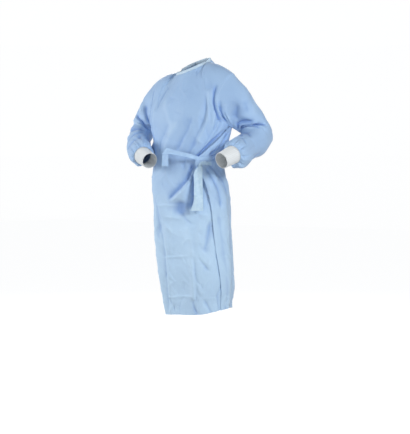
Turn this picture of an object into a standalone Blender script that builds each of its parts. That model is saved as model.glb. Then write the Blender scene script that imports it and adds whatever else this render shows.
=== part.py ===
"""Surgical gown: a wrap-round gown of light nonwoven cloth, worn closed, with no wearer in it.

Metres, +Z up. The front faces -Y and the wearer's left is +X. The origin is between the shoulders,
at the height where the neck opening meets the shoulder seams. An angle round the body is in degrees:
0 at the middle of the front, 90 at the wearer's left side seam, 180 at the back, 270 at the right.
"""
import math
from collections import namedtuple

import bpy
import numpy as np

# Cloth and seams
WALL = 0.0012
TIE_WALL = 0.0012
KNIT_WALL = 0.0014
SEAM = 0.0003
NECK_SEAM = 0.0007
ON_CLOTH = 0.0006

# Mesh density
COLUMN_ANGLE = 7.5
SKIRT_ROWS = 21
YOKE_ROWS = 9
SLEEVE_COLUMNS = 4 * YOKE_ROWS
SLEEVE_ROWS = 19
FLAP_FREE_COLUMNS = 16
CUFF_RIBS = 30
NORMAL_ANGLE_STEP = 3.0
NORMAL_RISE_STEP = 0.03
NORMAL_TURN_STEP = 2.0
NORMAL_SHARE_STEP = 0.01
SHARP_ANGLE = 50
# Shares of the rows, and how high up the skirt they are
ROW_SHARES = (0, 0.45, 1)
ROW_RISES = (0, 0.56, 1)
YOKE_LENGTH = 0.3

# Body of the gown: level rings from the hem to the underarm
Ring = namedtuple("Ring", "height half_width front back shift_x shift_y squareness")
RINGS = (
    Ring(-1.130, 0.151, 0.113, 0.118, 0.002, 0.035, 2.2),
    Ring(-1.064, 0.155, 0.119, 0.122, 0.000, 0.030, 2.2),
    Ring(-0.993, 0.165, 0.126, 0.129, 0.002, 0.024, 2.2),
    Ring(-0.920, 0.170, 0.130, 0.130, 0.002, 0.014, 2.2),
    Ring(-0.830, 0.172, 0.131, 0.128, -0.001, 0.006, 2.2),
    Ring(-0.740, 0.175, 0.134, 0.125, -0.005, 0.000, 2.2),
    Ring(-0.605, 0.180, 0.140, 0.122, -0.006, -0.008, 2.2),
    Ring(-0.540, 0.177, 0.140, 0.118, -0.010, -0.010, 2.2),
    Ring(-0.475, 0.167, 0.136, 0.112, -0.017, -0.012, 2.2),
    Ring(-0.430, 0.161, 0.132, 0.109, -0.018, -0.012, 2.2),
    Ring(-0.340, 0.176, 0.134, 0.116, -0.004, -0.012, 2.3),
    Ring(-0.270, 0.190, 0.131, 0.124, -0.005, -0.010, 2.4),
    Ring(-0.220, 0.191, 0.130, 0.125, -0.004, -0.008, 2.4),
)
UNDERARM = -0.27
CLOTH_PER_DEGREE = 0.0028

HemPoint = namedtuple("HemPoint", "angle height")
HEM = (
    HemPoint(0, -1.112),
    HemPoint(45, -1.100),
    HemPoint(76, -1.088),
    HemPoint(100, -1.082),
    HemPoint(140, -1.094),
    HemPoint(180, -1.108),
    HemPoint(230, -1.117),
    HemPoint(270, -1.120),
    HemPoint(315, -1.119),
    HemPoint(360, -1.112),
)

# Yoke: neck opening, shoulder seams and armholes
NECK_HALF_WIDTH = 0.081
NECK_FRONT = (-0.078, -0.045)
NECK_SIDE = (0.012, -0.008)
NECK_BACK = (0.075, 0.018)
NECK_TILT = 0.018
NECK_ANGLE = 60.0
SHOULDER_TIP = (0.205, 0.012, -0.056)
SHOULDER_TILT = 0.009
SHOULDER_BOW = 0.008
ARMHOLE_FRONT = 0.070
ARMHOLE_BACK = 0.064
ARMHOLE_HOLLOW = 0.018
ARMHOLE_EVENNESS = 0.8
ARMHOLE_BLEND = 6

# How the yoke leaves the underarm ring and how it comes over the shoulder
Flow = namedtuple("Flow", "angle low_x low_y low_z top_x top_y top_z")
FRONT_FLOW = (
    Flow(0, 0.00, 0.00, 0.26, 0.00, 0.07, 0.17),
    Flow(30, 0.02, -0.01, 0.26, -0.02, 0.10, 0.17),
    Flow(45, 0.02, -0.04, 0.27, -0.02, 0.17, 0.13),
    Flow(60, 0.01, -0.09, 0.26, 0.00, 0.28, 0.00),
    Flow(75, -0.02, -0.16, 0.22, 0.00, 0.30, 0.00),
    Flow(90, -0.05, -0.28, 0.14, 0.00, 0.26, 0.00),
)
BACK_FLOW = (
    Flow(0, 0.00, 0.05, 0.27, 0.00, -0.13, 0.12),
    Flow(30, 0.02, 0.06, 0.27, -0.02, -0.16, 0.11),
    Flow(45, 0.02, 0.08, 0.27, -0.02, -0.22, 0.07),
    Flow(60, 0.01, 0.12, 0.26, 0.00, -0.30, 0.00),
    Flow(75, -0.02, 0.18, 0.22, 0.00, -0.30, 0.00),
    Flow(90, -0.05, 0.28, 0.14, 0.00, -0.26, 0.00),
)

# Wrap: the right back panel goes on round the back and the left side, over the panels there
EdgePoint = namedtuple("EdgePoint", "height angle")
FLAP_EDGE = (
    EdgePoint(-1.13, 77),
    EdgePoint(-1.00, 74),
    EdgePoint(-0.80, 66),
    EdgePoint(-0.70, 63),
    EdgePoint(-0.60, 58),
    EdgePoint(-0.52, 52),
    EdgePoint(-0.42, 43),
    EdgePoint(-0.37, 57),
    EdgePoint(-0.32, 77),
    EdgePoint(-0.285, 93),
    EdgePoint(-0.24, 114),
    EdgePoint(-0.19, 128),
    EdgePoint(-0.10, 150),
    EdgePoint(0.00, 165),
)
UNDER_END = 195.0
EDGE_PASSES = 6
LIFT = 0.0043
LIFT_START = 232.0
LIFT_FULL = 203.0
TIE_HEIGHT = -0.4155
TENT = 0.024
TENT_UP = 0.085
TENT_DOWN = 0.17
TENT_ANGLE = 48.0

# Largest folds: a ridge or, with a negative height, a trough along a path on the body
Fold = namedtuple("Fold", "path near far height")
BODY_FOLDS = (
    Fold(((41, -0.44), (30, -0.52), (12, -0.60), (-2, -0.64)), 0.022, 0.034, 0.014),
    Fold(((40, -0.46), (33, -0.56), (26, -0.66), (22, -0.74)), 0.030, 0.030, -0.008),
    Fold(((20, -0.70), (22, -0.85), (25, -1.00), (27, -1.13)), 0.040, 0.030, 0.007),
    Fold(((-40, -0.62), (-42, -0.80), (-44, -1.00), (-45, -1.13)), 0.035, 0.035, 0.008),
    Fold(((-5, -0.78), (-6, -0.95), (-8, -1.13)), 0.035, 0.045, -0.006),
    Fold(((-75, -0.60), (-78, -0.85), (-80, -1.13)), 0.030, 0.030, -0.007),
    Fold(((60, -0.14), (45, -0.24), (28, -0.33), (15, -0.40)), 0.022, 0.026, -0.007),
    Fold(((-62, -0.14), (-48, -0.24), (-40, -0.34), (-38, -0.42)), 0.022, 0.024, -0.006),
    Fold(((20, -0.12), (12, -0.24), (2, -0.34)), 0.026, 0.026, 0.005),
    Fold(((150, -0.10), (160, -0.30), (165, -0.52)), 0.030, 0.030, 0.007),
    Fold(((215, -0.12), (208, -0.30), (205, -0.50)), 0.030, 0.030, -0.007),
    Fold(((130, -0.55), (128, -0.80), (126, -1.13)), 0.035, 0.035, 0.010),
    Fold(((165, -0.50), (168, -0.80), (170, -1.13)), 0.035, 0.035, -0.009),
    Fold(((200, -0.48), (203, -0.75), (206, -1.13)), 0.035, 0.035, 0.011),
    Fold(((238, -0.50), (240, -0.80), (243, -1.13)), 0.032, 0.032, -0.009),
)
FLAP_FOLDS = (
    Fold(((92, -0.29), (74, -0.35), (58, -0.40)), 0.012, 0.018, 0.008),
    Fold(((100, -0.32), (84, -0.38), (64, -0.42)), 0.012, 0.018, 0.007),
    Fold(((52, -0.44), (66, -0.54), (78, -0.64)), 0.016, 0.024, 0.008),
    Fold(((88, -0.55), (90, -0.80), (92, -1.13)), 0.026, 0.030, 0.006),
)
FOLD_TAPER = 0.10
FADE_ANGLE = 22
FADE_TOP = 0.25
FADE_LOW = 0.12
HEM_FOLDS_OPEN = -1.0

# Sleeves: sections square to the arm, from below the armhole to the wrist
Section = namedtuple("Section", "x y z outer inner front back")
LEFT_ARM = (
    Section(0.214, 0.022, -0.168, 0.072, 0.050, 0.074, 0.080),
    Section(0.230, 0.056, -0.216, 0.067, 0.062, 0.068, 0.074),
    Section(0.246, 0.090, -0.258, 0.068, 0.064, 0.066, 0.078),
    Section(0.260, 0.108, -0.298, 0.071, 0.054, 0.074, 0.088),
    Section(0.270, 0.072, -0.338, 0.065, 0.056, 0.060, 0.080),
    Section(0.278, 0.020, -0.360, 0.056, 0.062, 0.058, 0.066),
    Section(0.284, -0.028, -0.378, 0.053, 0.060, 0.058, 0.066),
    Section(0.288, -0.070, -0.391, 0.054, 0.060, 0.058, 0.070),
    Section(0.289, -0.100, -0.400, 0.050, 0.054, 0.052, 0.062),
    Section(0.288, -0.114, -0.405, 0.041, 0.041, 0.041, 0.041),
)
RIGHT_ARM = (
    Section(-0.212, 0.014, -0.170, 0.070, 0.050, 0.072, 0.080),
    Section(-0.246, 0.020, -0.212, 0.068, 0.064, 0.068, 0.074),
    Section(-0.272, 0.020, -0.248, 0.066, 0.064, 0.066, 0.074),
    Section(-0.284, 0.002, -0.286, 0.058, 0.049, 0.062, 0.076),
    Section(-0.276, -0.038, -0.322, 0.050, 0.049, 0.060, 0.068),
    Section(-0.254, -0.078, -0.350, 0.048, 0.060, 0.060, 0.060),
    Section(-0.224, -0.114, -0.372, 0.048, 0.058, 0.060, 0.056),
    Section(-0.188, -0.144, -0.390, 0.049, 0.054, 0.060, 0.056),
    Section(-0.162, -0.162, -0.400, 0.046, 0.048, 0.054, 0.050),
    Section(-0.149, -0.171, -0.405, 0.041, 0.041, 0.041, 0.041),
)
# Sleeve folds: the path is in degrees round the sleeve and shares of its length
SLEEVE_SCALE = (0.00115, 0.45)
LEFT_SLEEVE_FOLDS = (
    Fold(((130, 0.43), (85, 0.40), (35, 0.35), (-15, 0.36)), 0.016, 0.020, -0.010),
    Fold(((125, 0.46), (85, 0.47), (40, 0.47)), 0.016, 0.016, 0.006),
    Fold(((120, 0.50), (80, 0.54), (35, 0.60)), 0.016, 0.020, -0.007),
    Fold(((35, 0.10), (75, 0.09), (120, 0.11)), 0.018, 0.020, -0.008),
    Fold(((50, 0.24), (85, 0.28), (115, 0.36)), 0.018, 0.018, -0.006),
    Fold(((250, 0.30), (290, 0.38), (320, 0.46)), 0.020, 0.020, 0.006),
    Fold(((200, 0.12), (240, 0.11), (290, 0.12)), 0.020, 0.020, -0.006),
)
RIGHT_SLEEVE_FOLDS = (
    Fold(((-25, 0.34), (25, 0.38), (75, 0.42), (120, 0.44)), 0.016, 0.020, -0.010),
    Fold(((-20, 0.42), (30, 0.46), (80, 0.48)), 0.016, 0.016, 0.006),
    Fold(((0, 0.56), (40, 0.54), (90, 0.52)), 0.016, 0.020, -0.007),
    Fold(((35, 0.10), (75, 0.09), (120, 0.11)), 0.018, 0.020, -0.008),
    Fold(((20, 0.22), (60, 0.26), (105, 0.34)), 0.018, 0.018, -0.006),
    Fold(((250, 0.30), (290, 0.38), (320, 0.46)), 0.020, 0.020, 0.006),
    Fold(((200, 0.12), (240, 0.11), (290, 0.12)), 0.020, 0.020, -0.006),
)
Arm = namedtuple("Arm", "side sections folds out_at_shoulder out_at_wrist clearance cuff_end")
LEFT = Arm(1, LEFT_ARM, LEFT_SLEEVE_FOLDS, (0.98, 0.00, 0.20), (0.964, 0.074, 0.247), 0.009,
           (0.274, -0.178, -0.431))
RIGHT = Arm(-1, RIGHT_ARM, RIGHT_SLEEVE_FOLDS, (-0.98, 0.00, 0.20), (-0.72, -0.66, 0.20), 0.007,
            (-0.086, -0.203, -0.428))
GATHERS = 9
GATHER_HEIGHT = 0.006
GATHER_START = 0.72
GATHER_FULL = 0.93
GATHER_END = 0.95
SLEEVE_FOLD_START = 0.08
SLEEVE_FOLD_END = 0.85
WRIST_ROWS = (0.91, 0.95, 0.98, 1.0)
EVEN_SLEEVE_END = 0.86
OUT_TURN = 1.6
HOLE_SHARE = 0.02
WRIST_SECTIONS = 2
# Sections above the elbow, whose inner side runs straight from the underarm to the elbow
UPPER_SECTIONS = 3
WRIST_GAP = 0.0006
CUFF_END_RADIUS = 0.034
CUFF_TUCK = 0.007
CUFF_OUT = 0.002
MIN_REACH = 0.05
RIB_HEIGHT = 0.0007

# Neck binding, neck tab and ties
BINDING_HEIGHT = 0.012
BINDING_UPRIGHT = 0.8
TAB_FIRST_COLUMN = 2
TAB_COLUMNS = 10
TAB_LOW = 0.12
TAB_HIGH = 0.82
TAB_WALL = 0.0015
TIE_HALF_WIDTH = 0.009
WAIST_TIE_DROP = 0.026
# Columns of the flap, counted from its free edge, that each tie is sewn along
FLAP_TIE_ROOT = (3, 2, 1, 0.3)
WAIST_TIE_ROOT = (3, 2, 1)

# Free rows of the ties: the middle, half the width as a vector, and the side that faces out
TieRow = namedtuple("TieRow", "x y z half_x half_y half_z out_x out_y out_z")
FLAP_TIE = (
    TieRow(0.104, -0.164, -0.409, 0, 0, 0.009, 0.55, -0.83, 0),
    TieRow(0.070, -0.182, -0.400, 0, 0, 0.009, 0.40, -0.92, 0),
    TieRow(0.035, -0.193, -0.392, 0, 0, 0.010, 0.20, -0.98, 0),
    TieRow(0.012, -0.197, -0.388, 0, 0, 0.012, 0.10, -0.99, 0),
    TieRow(-0.004, -0.1985, -0.388, 0.008, 0, 0.013, -0.20, -0.95, 0.15),
    TieRow(-0.0125, -0.196, -0.3855, 0.013, 0, 0.012, -0.70, 0.00, 0.70),
    TieRow(-0.010, -0.1930, -0.393, 0.015, 0, 0.009, -0.10, 0.97, 0.15),
    TieRow(-0.009, -0.193, -0.408, 0.017, 0, 0.002, 0, 1, 0),
    TieRow(-0.010, -0.193, -0.428, 0.017, 0, 0, 0, 1, 0),
    TieRow(-0.010, -0.194, -0.452, 0.017, 0, 0, 0, 1, 0),
)
WAIST_TIE = (
    TieRow(0.1315, -0.1216, -0.4431, -0.0030, -0.0033, 0.0078, 0.70, -0.71, 0),
    TieRow(0.1307, -0.1268, -0.4475, -0.0052, -0.0057, 0.0045, 0.69, -0.72, 0),
    TieRow(0.1319, -0.1300, -0.4535, -0.0066, -0.0068, 0.0008, 0.67, -0.74, 0),
    TieRow(0.1290, -0.1340, -0.4640, -0.0110, -0.0100, 0, 0.64, -0.77, 0),
    TieRow(0.1270, -0.1370, -0.4800, -0.0145, -0.0110, 0, 0.60, -0.80, 0),
    TieRow(0.1270, -0.1375, -0.5200, -0.0150, -0.0105, 0, 0.57, -0.82, 0),
    TieRow(0.1280, -0.1380, -0.5600, -0.0160, -0.0110, 0, 0.57, -0.82, 0),
    TieRow(0.1290, -0.1390, -0.6000, -0.0165, -0.0115, 0, 0.57, -0.82, 0),
    TieRow(0.1220, -0.1420, -0.6450, -0.0230, -0.0160, 0, 0.57, -0.82, 0),
)

CLOTH_BLUE = (0.36, 0.56, 0.80)
BINDING_BLUE = (0.52, 0.68, 0.84)
TIE_BLUE = (0.42, 0.63, 0.86)
KNIT_WHITE = (0.78, 0.81, 0.82)
CLOTH_ROUGHNESS = 0.75
KNIT_ROUGHNESS = 0.9


def smooth_step(t):
    """0 below 0, 1 above 1, and smooth between."""
    t = np.clip(t, 0.0, 1.0)
    return t * t * (3 - 2 * t)


def smooth_curve(x, knots, values):
    """The value at x of a smooth curve through rows of values at rising knots."""
    knots = np.asarray(knots, dtype=float)
    values = np.asarray(values, dtype=float)
    slopes = np.gradient(values, knots, axis=0)
    x = np.clip(np.asarray(x, dtype=float), knots[0], knots[-1])
    left = np.clip(np.searchsorted(knots, x) - 1, 0, len(knots) - 2)
    span = knots[left + 1] - knots[left]
    t = (x - knots[left]) / span
    if values.ndim > 1:
        span = span[..., None]
        t = t[..., None]
    start = (1 + 2 * t) * (1 - t) ** 2 * values[left]
    leave = t * (1 - t) ** 2 * span * slopes[left]
    end = t * t * (3 - 2 * t) * values[left + 1]
    arrive = t * t * (t - 1) * span * slopes[left + 1]
    return start + leave + end + arrive


def unit(vectors):
    """The same vectors, one long."""
    vectors = np.asarray(vectors, dtype=float)
    return vectors / np.linalg.norm(vectors, axis=-1, keepdims=True)


def table_curve(x, table):
    """A smooth curve through a table whose first column holds the knots."""
    rows = np.array(table, dtype=float)
    return smooth_curve(x, rows[:, 0], rows[:, 1:])


def rounded(t, squareness):
    """A sine or cosine made squarer."""
    return np.sign(t) * np.abs(t) ** (2 / squareness)


def ring_point(angle, height):
    """A point of the level ring at a height."""
    ring = table_curve(height, RINGS)
    across = np.sin(np.radians(angle))
    ahead = np.cos(np.radians(angle))
    depth = np.where(ahead > 0, ring[..., 1], ring[..., 2])
    x = ring[..., 3] + ring[..., 0] * rounded(across, ring[..., 5])
    y = ring[..., 4] - depth * rounded(ahead, ring[..., 5])
    return np.stack([x, y, np.broadcast_to(height, x.shape)], axis=-1)


def hem_height(angle):
    """Height of the hem round the body."""
    return table_curve(np.asarray(angle, dtype=float) % 360, HEM)[..., 0]


def neck_point(turn):
    """A point of the neck opening; turn is in degrees from the front of the neck."""
    across = np.sin(np.radians(turn))
    ahead = np.cos(np.radians(turn))
    offsets = []
    for front, side, back in zip(NECK_FRONT, NECK_SIDE, NECK_BACK):
        slant = (front - back) / 2
        bow = (front + back) / 2 - side
        offsets.append(side + slant * ahead + bow * ahead ** 2)
    return np.stack([NECK_HALF_WIDTH * across, offsets[0], offsets[1]], axis=-1)


def mirrored(side):
    """The factors that take a point of the left side to its own side."""
    return np.stack([side, np.ones_like(side), np.ones_like(side)], axis=-1)


def shoulder_tip(side):
    """The shoulder tip before mirroring; the left shoulder is the higher one."""
    return np.array(SHOULDER_TIP) + np.asarray(side)[..., None] * np.array([0, 0, SHOULDER_TILT])


def underarm_tip(side):
    """The lowest point of the armhole before mirroring, on the level ring at the underarm."""
    side = np.asarray(side, dtype=float)
    return ring_point(90 * side, np.full(side.shape, UNDERARM)) * mirrored(side)


def armhole_point(side, turn, back):
    """A point of the armhole; turn runs from 0 at the shoulder tip to 180 at the underarm."""
    side = np.broadcast_to(np.asarray(side, dtype=float), np.shape(turn))
    tip = shoulder_tip(side)
    under = underarm_tip(side)
    along = np.cos(np.radians(turn))[..., None]
    across = np.sin(np.radians(turn))
    half = np.sin(np.radians(turn) / 2) ** 2
    across = across * (1 - half + half * across)
    reach = ARMHOLE_BACK if back else -ARMHOLE_FRONT
    point = (tip + under) / 2 + along * (tip - under) / 2
    point = point + np.stack([-ARMHOLE_HOLLOW * across ** 2, reach * across, 0 * across], axis=-1)
    return point * mirrored(side)


def armhole_turn(t):
    """The armhole angle at a share t of the way up its edge."""
    return 180 * (1 - np.clip(t, 0, 1) ** ARMHOLE_EVENNESS)


def top_point(from_middle, side, back):
    """A point of the neck edge or, past it, of the shoulder seam."""
    share = np.clip(from_middle / NECK_ANGLE, 0, 1) * 90
    turn = 180 - share if back else share
    tilt = side[..., None] * np.array([0, 0, NECK_TILT])
    neck = neck_point(turn) + tilt * np.sin(np.radians(turn))[..., None]
    out = np.clip((from_middle - NECK_ANGLE) / (90 - NECK_ANGLE), 0, 1)[..., None]
    corner = neck_point(np.array(90.0)) + tilt
    bow = SHOULDER_BOW * np.sin(np.pi * out) * np.array([0, 0, 1])
    seam = corner + out * (shoulder_tip(side) - corner) + bow
    point = np.where(out > 0, seam, neck)
    return point * mirrored(side)


def hermite(t, start, leave, end, arrive):
    """A cubic from start to end with the given directions at its ends."""
    t = t[..., None]
    first = (1 + 2 * t) * (1 - t) ** 2 * start + t * (1 - t) ** 2 * leave
    return first + t * t * (3 - 2 * t) * end + t * t * (t - 1) * arrive


def yoke_column(from_middle, side, t, back):
    """The plain curve of one column from the underarm ring to the neck or shoulder."""
    angle = side * from_middle
    angle = 180 - angle if back else angle
    flow = table_curve(from_middle, BACK_FLOW if back else FRONT_FLOW)
    mirror = mirrored(side)
    low = ring_point(angle, np.full_like(from_middle, UNDERARM))
    return hermite(t, low, flow[..., :3] * mirror, top_point(from_middle, side, back),
                   flow[..., 3:] * mirror)


def yoke_point(angle, t, back):
    """A point of the chest or back above the underarm, at a share t of the way up."""
    centred = 180 - np.asarray(angle, dtype=float) if back else np.asarray(angle, dtype=float)
    centred = np.clip(centred, -90, 90)
    side = np.where(centred < 0, -1.0, 1.0)
    from_middle = np.abs(centred)
    point = yoke_column(from_middle, side, t, back)
    last = yoke_column(np.full_like(from_middle, 90.0), side, t, back)
    edge = armhole_point(side, armhole_turn(t), back)
    weight = ((from_middle / 90) ** ARMHOLE_BLEND)[..., None]
    return point + weight * (edge - last)


def body_point(angle, rise, back=False):
    """A point of the bare form: rise is 0 at the hem, 1 at the underarm, 2 at the top edge."""
    angle, rise = np.broadcast_arrays(np.asarray(angle, dtype=float), np.asarray(rise, dtype=float))
    hem = hem_height(angle)
    low = ring_point(angle, hem + (UNDERARM - hem) * np.minimum(rise, 1))
    high = yoke_point(angle, np.maximum(rise - 1, 0), back)
    return np.where(rise[..., None] > 1, high, low)


def body_normal(angle, rise, back=False):
    """The outward direction of the bare form."""
    across = (body_point(angle + NORMAL_ANGLE_STEP, rise, back)
              - body_point(angle - NORMAL_ANGLE_STEP, rise, back))
    up = (body_point(angle, rise + NORMAL_RISE_STEP, back)
          - body_point(angle, rise - NORMAL_RISE_STEP, back))
    return unit(np.cross(across, up))


def cloth_height(angle, rise):
    """The height that folds and the flap's edge are placed by."""
    hem = hem_height(angle)
    low = hem + (UNDERARM - hem) * np.minimum(rise, 1)
    return np.where(rise > 1, UNDERARM * (2 - rise), low)


def fold_height(fold, spot, open_below):
    """How far one fold lifts the cloth at spots given in metres across and along the cloth."""
    path = np.array(fold.path, dtype=float)
    nearest = np.full(spot.shape[:-1], np.inf)
    offset = np.zeros_like(nearest)
    run = np.zeros_like(nearest)
    length = 0.0
    for start, end in zip(path[:-1], path[1:]):
        step = end - start
        size = math.hypot(*step)
        share = np.clip(((spot - start) @ step) / size ** 2, 0, 1)
        gap = spot - start - share[..., None] * step
        distance = np.hypot(gap[..., 0], gap[..., 1])
        closer = distance < nearest
        signed = np.sign(step[0] * gap[..., 1] - step[1] * gap[..., 0]) * distance
        offset = np.where(closer, signed, offset)
        run = np.where(closer, length + share * size, run)
        nearest = np.where(closer, distance, nearest)
        length += size
    width = np.where(offset > 0, fold.near, fold.far)
    taper = min(FOLD_TAPER, length / 2)
    begin = smooth_step(run / taper)
    finish = np.where(spot[..., 1] < open_below, 1, smooth_step((length - run) / taper))
    return fold.height * np.exp(-(nearest / width) ** 2) * begin * finish


def relief(folds, across, along, scale=(CLOTH_PER_DEGREE, 1), open_below=HEM_FOLDS_OPEN):
    """All the folds of one table together."""
    across, along = np.broadcast_arrays(across, along)
    spot = np.stack([across * scale[0], along * scale[1]], axis=-1)
    total = np.zeros(across.shape)
    for fold in folds:
        path = tuple((x * scale[0], y * scale[1]) for x, y in fold.path)
        total = total + fold_height(fold._replace(path=path), spot, open_below)
    return total


def seam_fade(angle, rise, back):
    """1 inside the cloth, and 0 at the armholes, shoulder seams and neck, where edges must meet."""
    centred = 180 - angle if back else angle
    side = smooth_step((90 - np.abs(centred)) / FADE_ANGLE)
    top = smooth_step((2 - rise) / FADE_TOP)
    low = smooth_step((1 - rise) / FADE_LOW)
    return np.maximum(low, side * top)


def flap_angle(height):
    """Where round the body the flap's free edge lies at a height."""
    return table_curve(height, FLAP_EDGE)[..., 0]


def flap_lift(angle, height):
    """How far the flap stands off the form, with the tent that the pulled tie makes."""
    over = smooth_step((LIFT_START - angle) / (LIFT_START - LIFT_FULL)) * LIFT
    reach = np.where(height > TIE_HEIGHT, TENT_UP, TENT_DOWN)
    pull = np.exp(-((height - TIE_HEIGHT) / reach) ** 2)
    near_edge = 1 - smooth_step((angle - flap_angle(height)) / TENT_ANGLE)
    return over + TENT * pull * near_edge


def front_cloth(angle, rise):
    """Outer points and outward directions of the front panel."""
    height = cloth_height(angle, rise)
    normal = body_normal(angle, rise)
    lift = relief(BODY_FOLDS, angle, height) * seam_fade(angle, rise, False)
    return body_point(angle, rise) + lift[..., None] * normal, normal


def back_cloth(angle, rise, lifted):
    """Outer points and outward directions of a back panel; a lifted one lies over the others."""
    height = cloth_height(angle, rise)
    normal = body_normal(angle, rise, back=True)
    wrapped = np.where(angle > 180, angle - 360, angle)
    folds = relief(BODY_FOLDS, angle, height) + relief(BODY_FOLDS, wrapped, height) * (angle > 180)
    lift = folds * seam_fade(angle, rise, True)
    if lifted:
        lift = lift + flap_lift(angle, height) + relief(FLAP_FOLDS, angle, height)
    return body_point(angle, rise, back=True) + lift[..., None] * normal, normal


def body_rows():
    """The rises of the rows that all panels share, closer together from the hips up."""
    share = np.linspace(0, 1, SKIRT_ROWS + 1)
    skirt = np.interp(share, ROW_SHARES, ROW_RISES)
    yoke = 1 + np.linspace(0, 1, YOKE_ROWS + 1)[1:]
    yoke[-1] -= SEAM / 2 / YOKE_LENGTH
    return np.concatenate([skirt, yoke])


def wall_mesh(name, outer, inner, closed=False):
    """A closed wall between two grids of points; a closed one runs round like a tube.

    Both sides of a face start at the same corner, so they bend along the same diagonal.
    """
    rows, columns = outer.shape[:2]
    points = np.concatenate([outer.reshape(-1, 3), inner.reshape(-1, 3)])
    size = rows * columns
    faces = []
    spans = columns if closed else columns - 1

    def at(row, column, under):
        return under * size + row * columns + column % columns

    for row in range(rows - 1):
        for column in range(spans):
            first, second, third, fourth = (
                (row, column), (row, column + 1), (row + 1, column + 1), (row + 1, column))
            faces.append([at(r, c, 0) for r, c in (first, second, third, fourth)])
            faces.append([at(r, c, 1) for r, c in (first, fourth, third, second)])
    for column in range(spans):
        faces.append([at(0, column, 1), at(0, column + 1, 1), at(0, column + 1, 0), at(0, column, 0)])
        last = rows - 1
        faces.append([at(last, column, 0), at(last, column + 1, 0),
                      at(last, column + 1, 1), at(last, column, 1)])
    if not closed:
        for row in range(rows - 1):
            faces.append([at(row, 0, 0), at(row + 1, 0, 0), at(row + 1, 0, 1), at(row, 0, 1)])
            end = columns - 1
            faces.append([at(row, end, 1), at(row + 1, end, 1), at(row + 1, end, 0), at(row, end, 0)])
    mesh = bpy.data.meshes.new(name)
    mesh.from_pydata([tuple(point) for point in points], [], faces)
    mesh.validate()
    mesh.shade_smooth()
    mesh.set_sharp_from_angle(angle=math.radians(SHARP_ANGLE))
    return mesh


def material(name, colour, roughness):
    """A plain cloth finish."""
    made = bpy.data.materials.new(name)
    made.use_nodes = True
    shader = made.node_tree.nodes["Principled BSDF"]
    shader.inputs["Base Color"].default_value = (*colour, 1)
    shader.inputs["Roughness"].default_value = roughness
    shader.inputs["Metallic"].default_value = 0
    return made


def add_piece(name, mesh, finish, collection):
    """One named piece of the gown."""
    mesh.materials.append(finish)
    piece = bpy.data.objects.new(name, mesh)
    collection.objects.link(piece)
    return piece


def arm_frames(arm):
    """Centre, outward, forward and lengthwise directions of each sleeve section."""
    centres = np.array([section[:3] for section in arm.sections])
    root = (shoulder_tip(arm.side) + underarm_tip(arm.side)) / 2 * np.array([arm.side, 1, 1])
    path = np.vstack([root, centres, centres[-1:] + centres[-1:] - centres[-2:-1]])
    along = unit(path[2:] - path[:-2])
    share = smooth_step(np.linspace(0, OUT_TURN, len(centres)))[:, None]
    out = np.array(arm.out_at_shoulder) * (1 - share) + np.array(arm.out_at_wrist) * share
    out = unit(out - np.sum(out * along, axis=1, keepdims=True) * along)
    ahead = arm.side * np.cross(along, out)
    return centres, out, ahead, along


def clear_of_body(points, margin):
    """Points moved out until they are a margin outside the body's ring at their height."""
    ring = table_curve(np.clip(points[..., 2], RINGS[0].height, UNDERARM), RINGS)
    x = points[..., 0] - ring[..., 3]
    y = points[..., 1] - ring[..., 4]
    depth = np.where(y < 0, ring[..., 1], ring[..., 2])
    power = ring[..., 5]
    size = ((np.abs(x) / ring[..., 0]) ** power + (np.abs(y) / depth) ** power) ** (1 / power)
    reach = np.hypot(x, y)
    wanted = 1 + margin / np.maximum(reach / size, MIN_REACH)
    push = np.maximum(wanted / size, 1)
    moved = points.copy()
    moved[..., 0] = ring[..., 3] + x * push
    moved[..., 1] = ring[..., 4] + y * push
    return moved


def sleeve_point(arm, turn, share):
    """A point of the bare sleeve: turn is 0 on the outside, 90 in front; share runs to the wrist."""
    turn, share = np.broadcast_arrays(np.asarray(turn, dtype=float), np.asarray(share, dtype=float))
    turn = turn % 360
    centres, out, ahead, _ = arm_frames(arm)
    across = np.cos(np.radians(turn))
    forward = np.sin(np.radians(turn))
    hole_turn = np.where(turn > 180, 360 - turn, turn)
    hole = np.where((turn > 180)[..., None], armhole_point(arm.side, hole_turn, True),
                    armhole_point(arm.side, hole_turn, False))
    stations = [hole]
    for index, section in enumerate(arm.sections):
        width = np.where(across > 0, section.outer, section.inner)
        depth = np.where(forward > 0, section.front, section.back)
        point = centres[index] + (width * across)[..., None] * out[index]
        stations.append(point + (depth * forward)[..., None] * ahead[index])
    inner = smooth_step((1 - across) / 2)[..., None]
    elbow = stations[UPPER_SECTIONS + 1]
    for index in range(1, UPPER_SECTIONS + 1):
        direct = hole + index / (UPPER_SECTIONS + 1) * (elbow - hole)
        stations[index] = stations[index] + inner * (direct - stations[index])
    for index in range(1, len(stations) - WRIST_SECTIONS):
        stations[index] = clear_of_body(stations[index], arm.clearance)
    stations = np.stack(stations)
    slopes = np.gradient(stations, axis=0)
    place = np.clip(share, 0, 1) * (len(stations) - 1)
    left = np.clip(place.astype(int), 0, len(stations) - 2)
    t = place - left
    pick = np.indices(left.shape)
    return hermite(t, stations[(left, *pick)], slopes[(left, *pick)],
                   stations[(left + 1, *pick)], slopes[(left + 1, *pick)])


def sleeve_normal(arm, turn, share):
    """The outward direction of the bare sleeve."""
    across = (sleeve_point(arm, turn + NORMAL_TURN_STEP, share)
              - sleeve_point(arm, turn - NORMAL_TURN_STEP, share))
    along = (sleeve_point(arm, turn, share + NORMAL_SHARE_STEP)
             - sleeve_point(arm, turn, share - NORMAL_SHARE_STEP))
    return unit(np.cross(across, along)) * arm.side


def shoulder_normal(from_middle, side):
    """The direction of the shoulder seam's edge faces, shared by front and back."""
    rise = np.full(np.shape(from_middle), 2.0 - NORMAL_RISE_STEP)
    front = body_normal(side * from_middle, rise)
    back = body_normal(180 - side * from_middle, rise, back=True)
    return unit(front + back)


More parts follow.
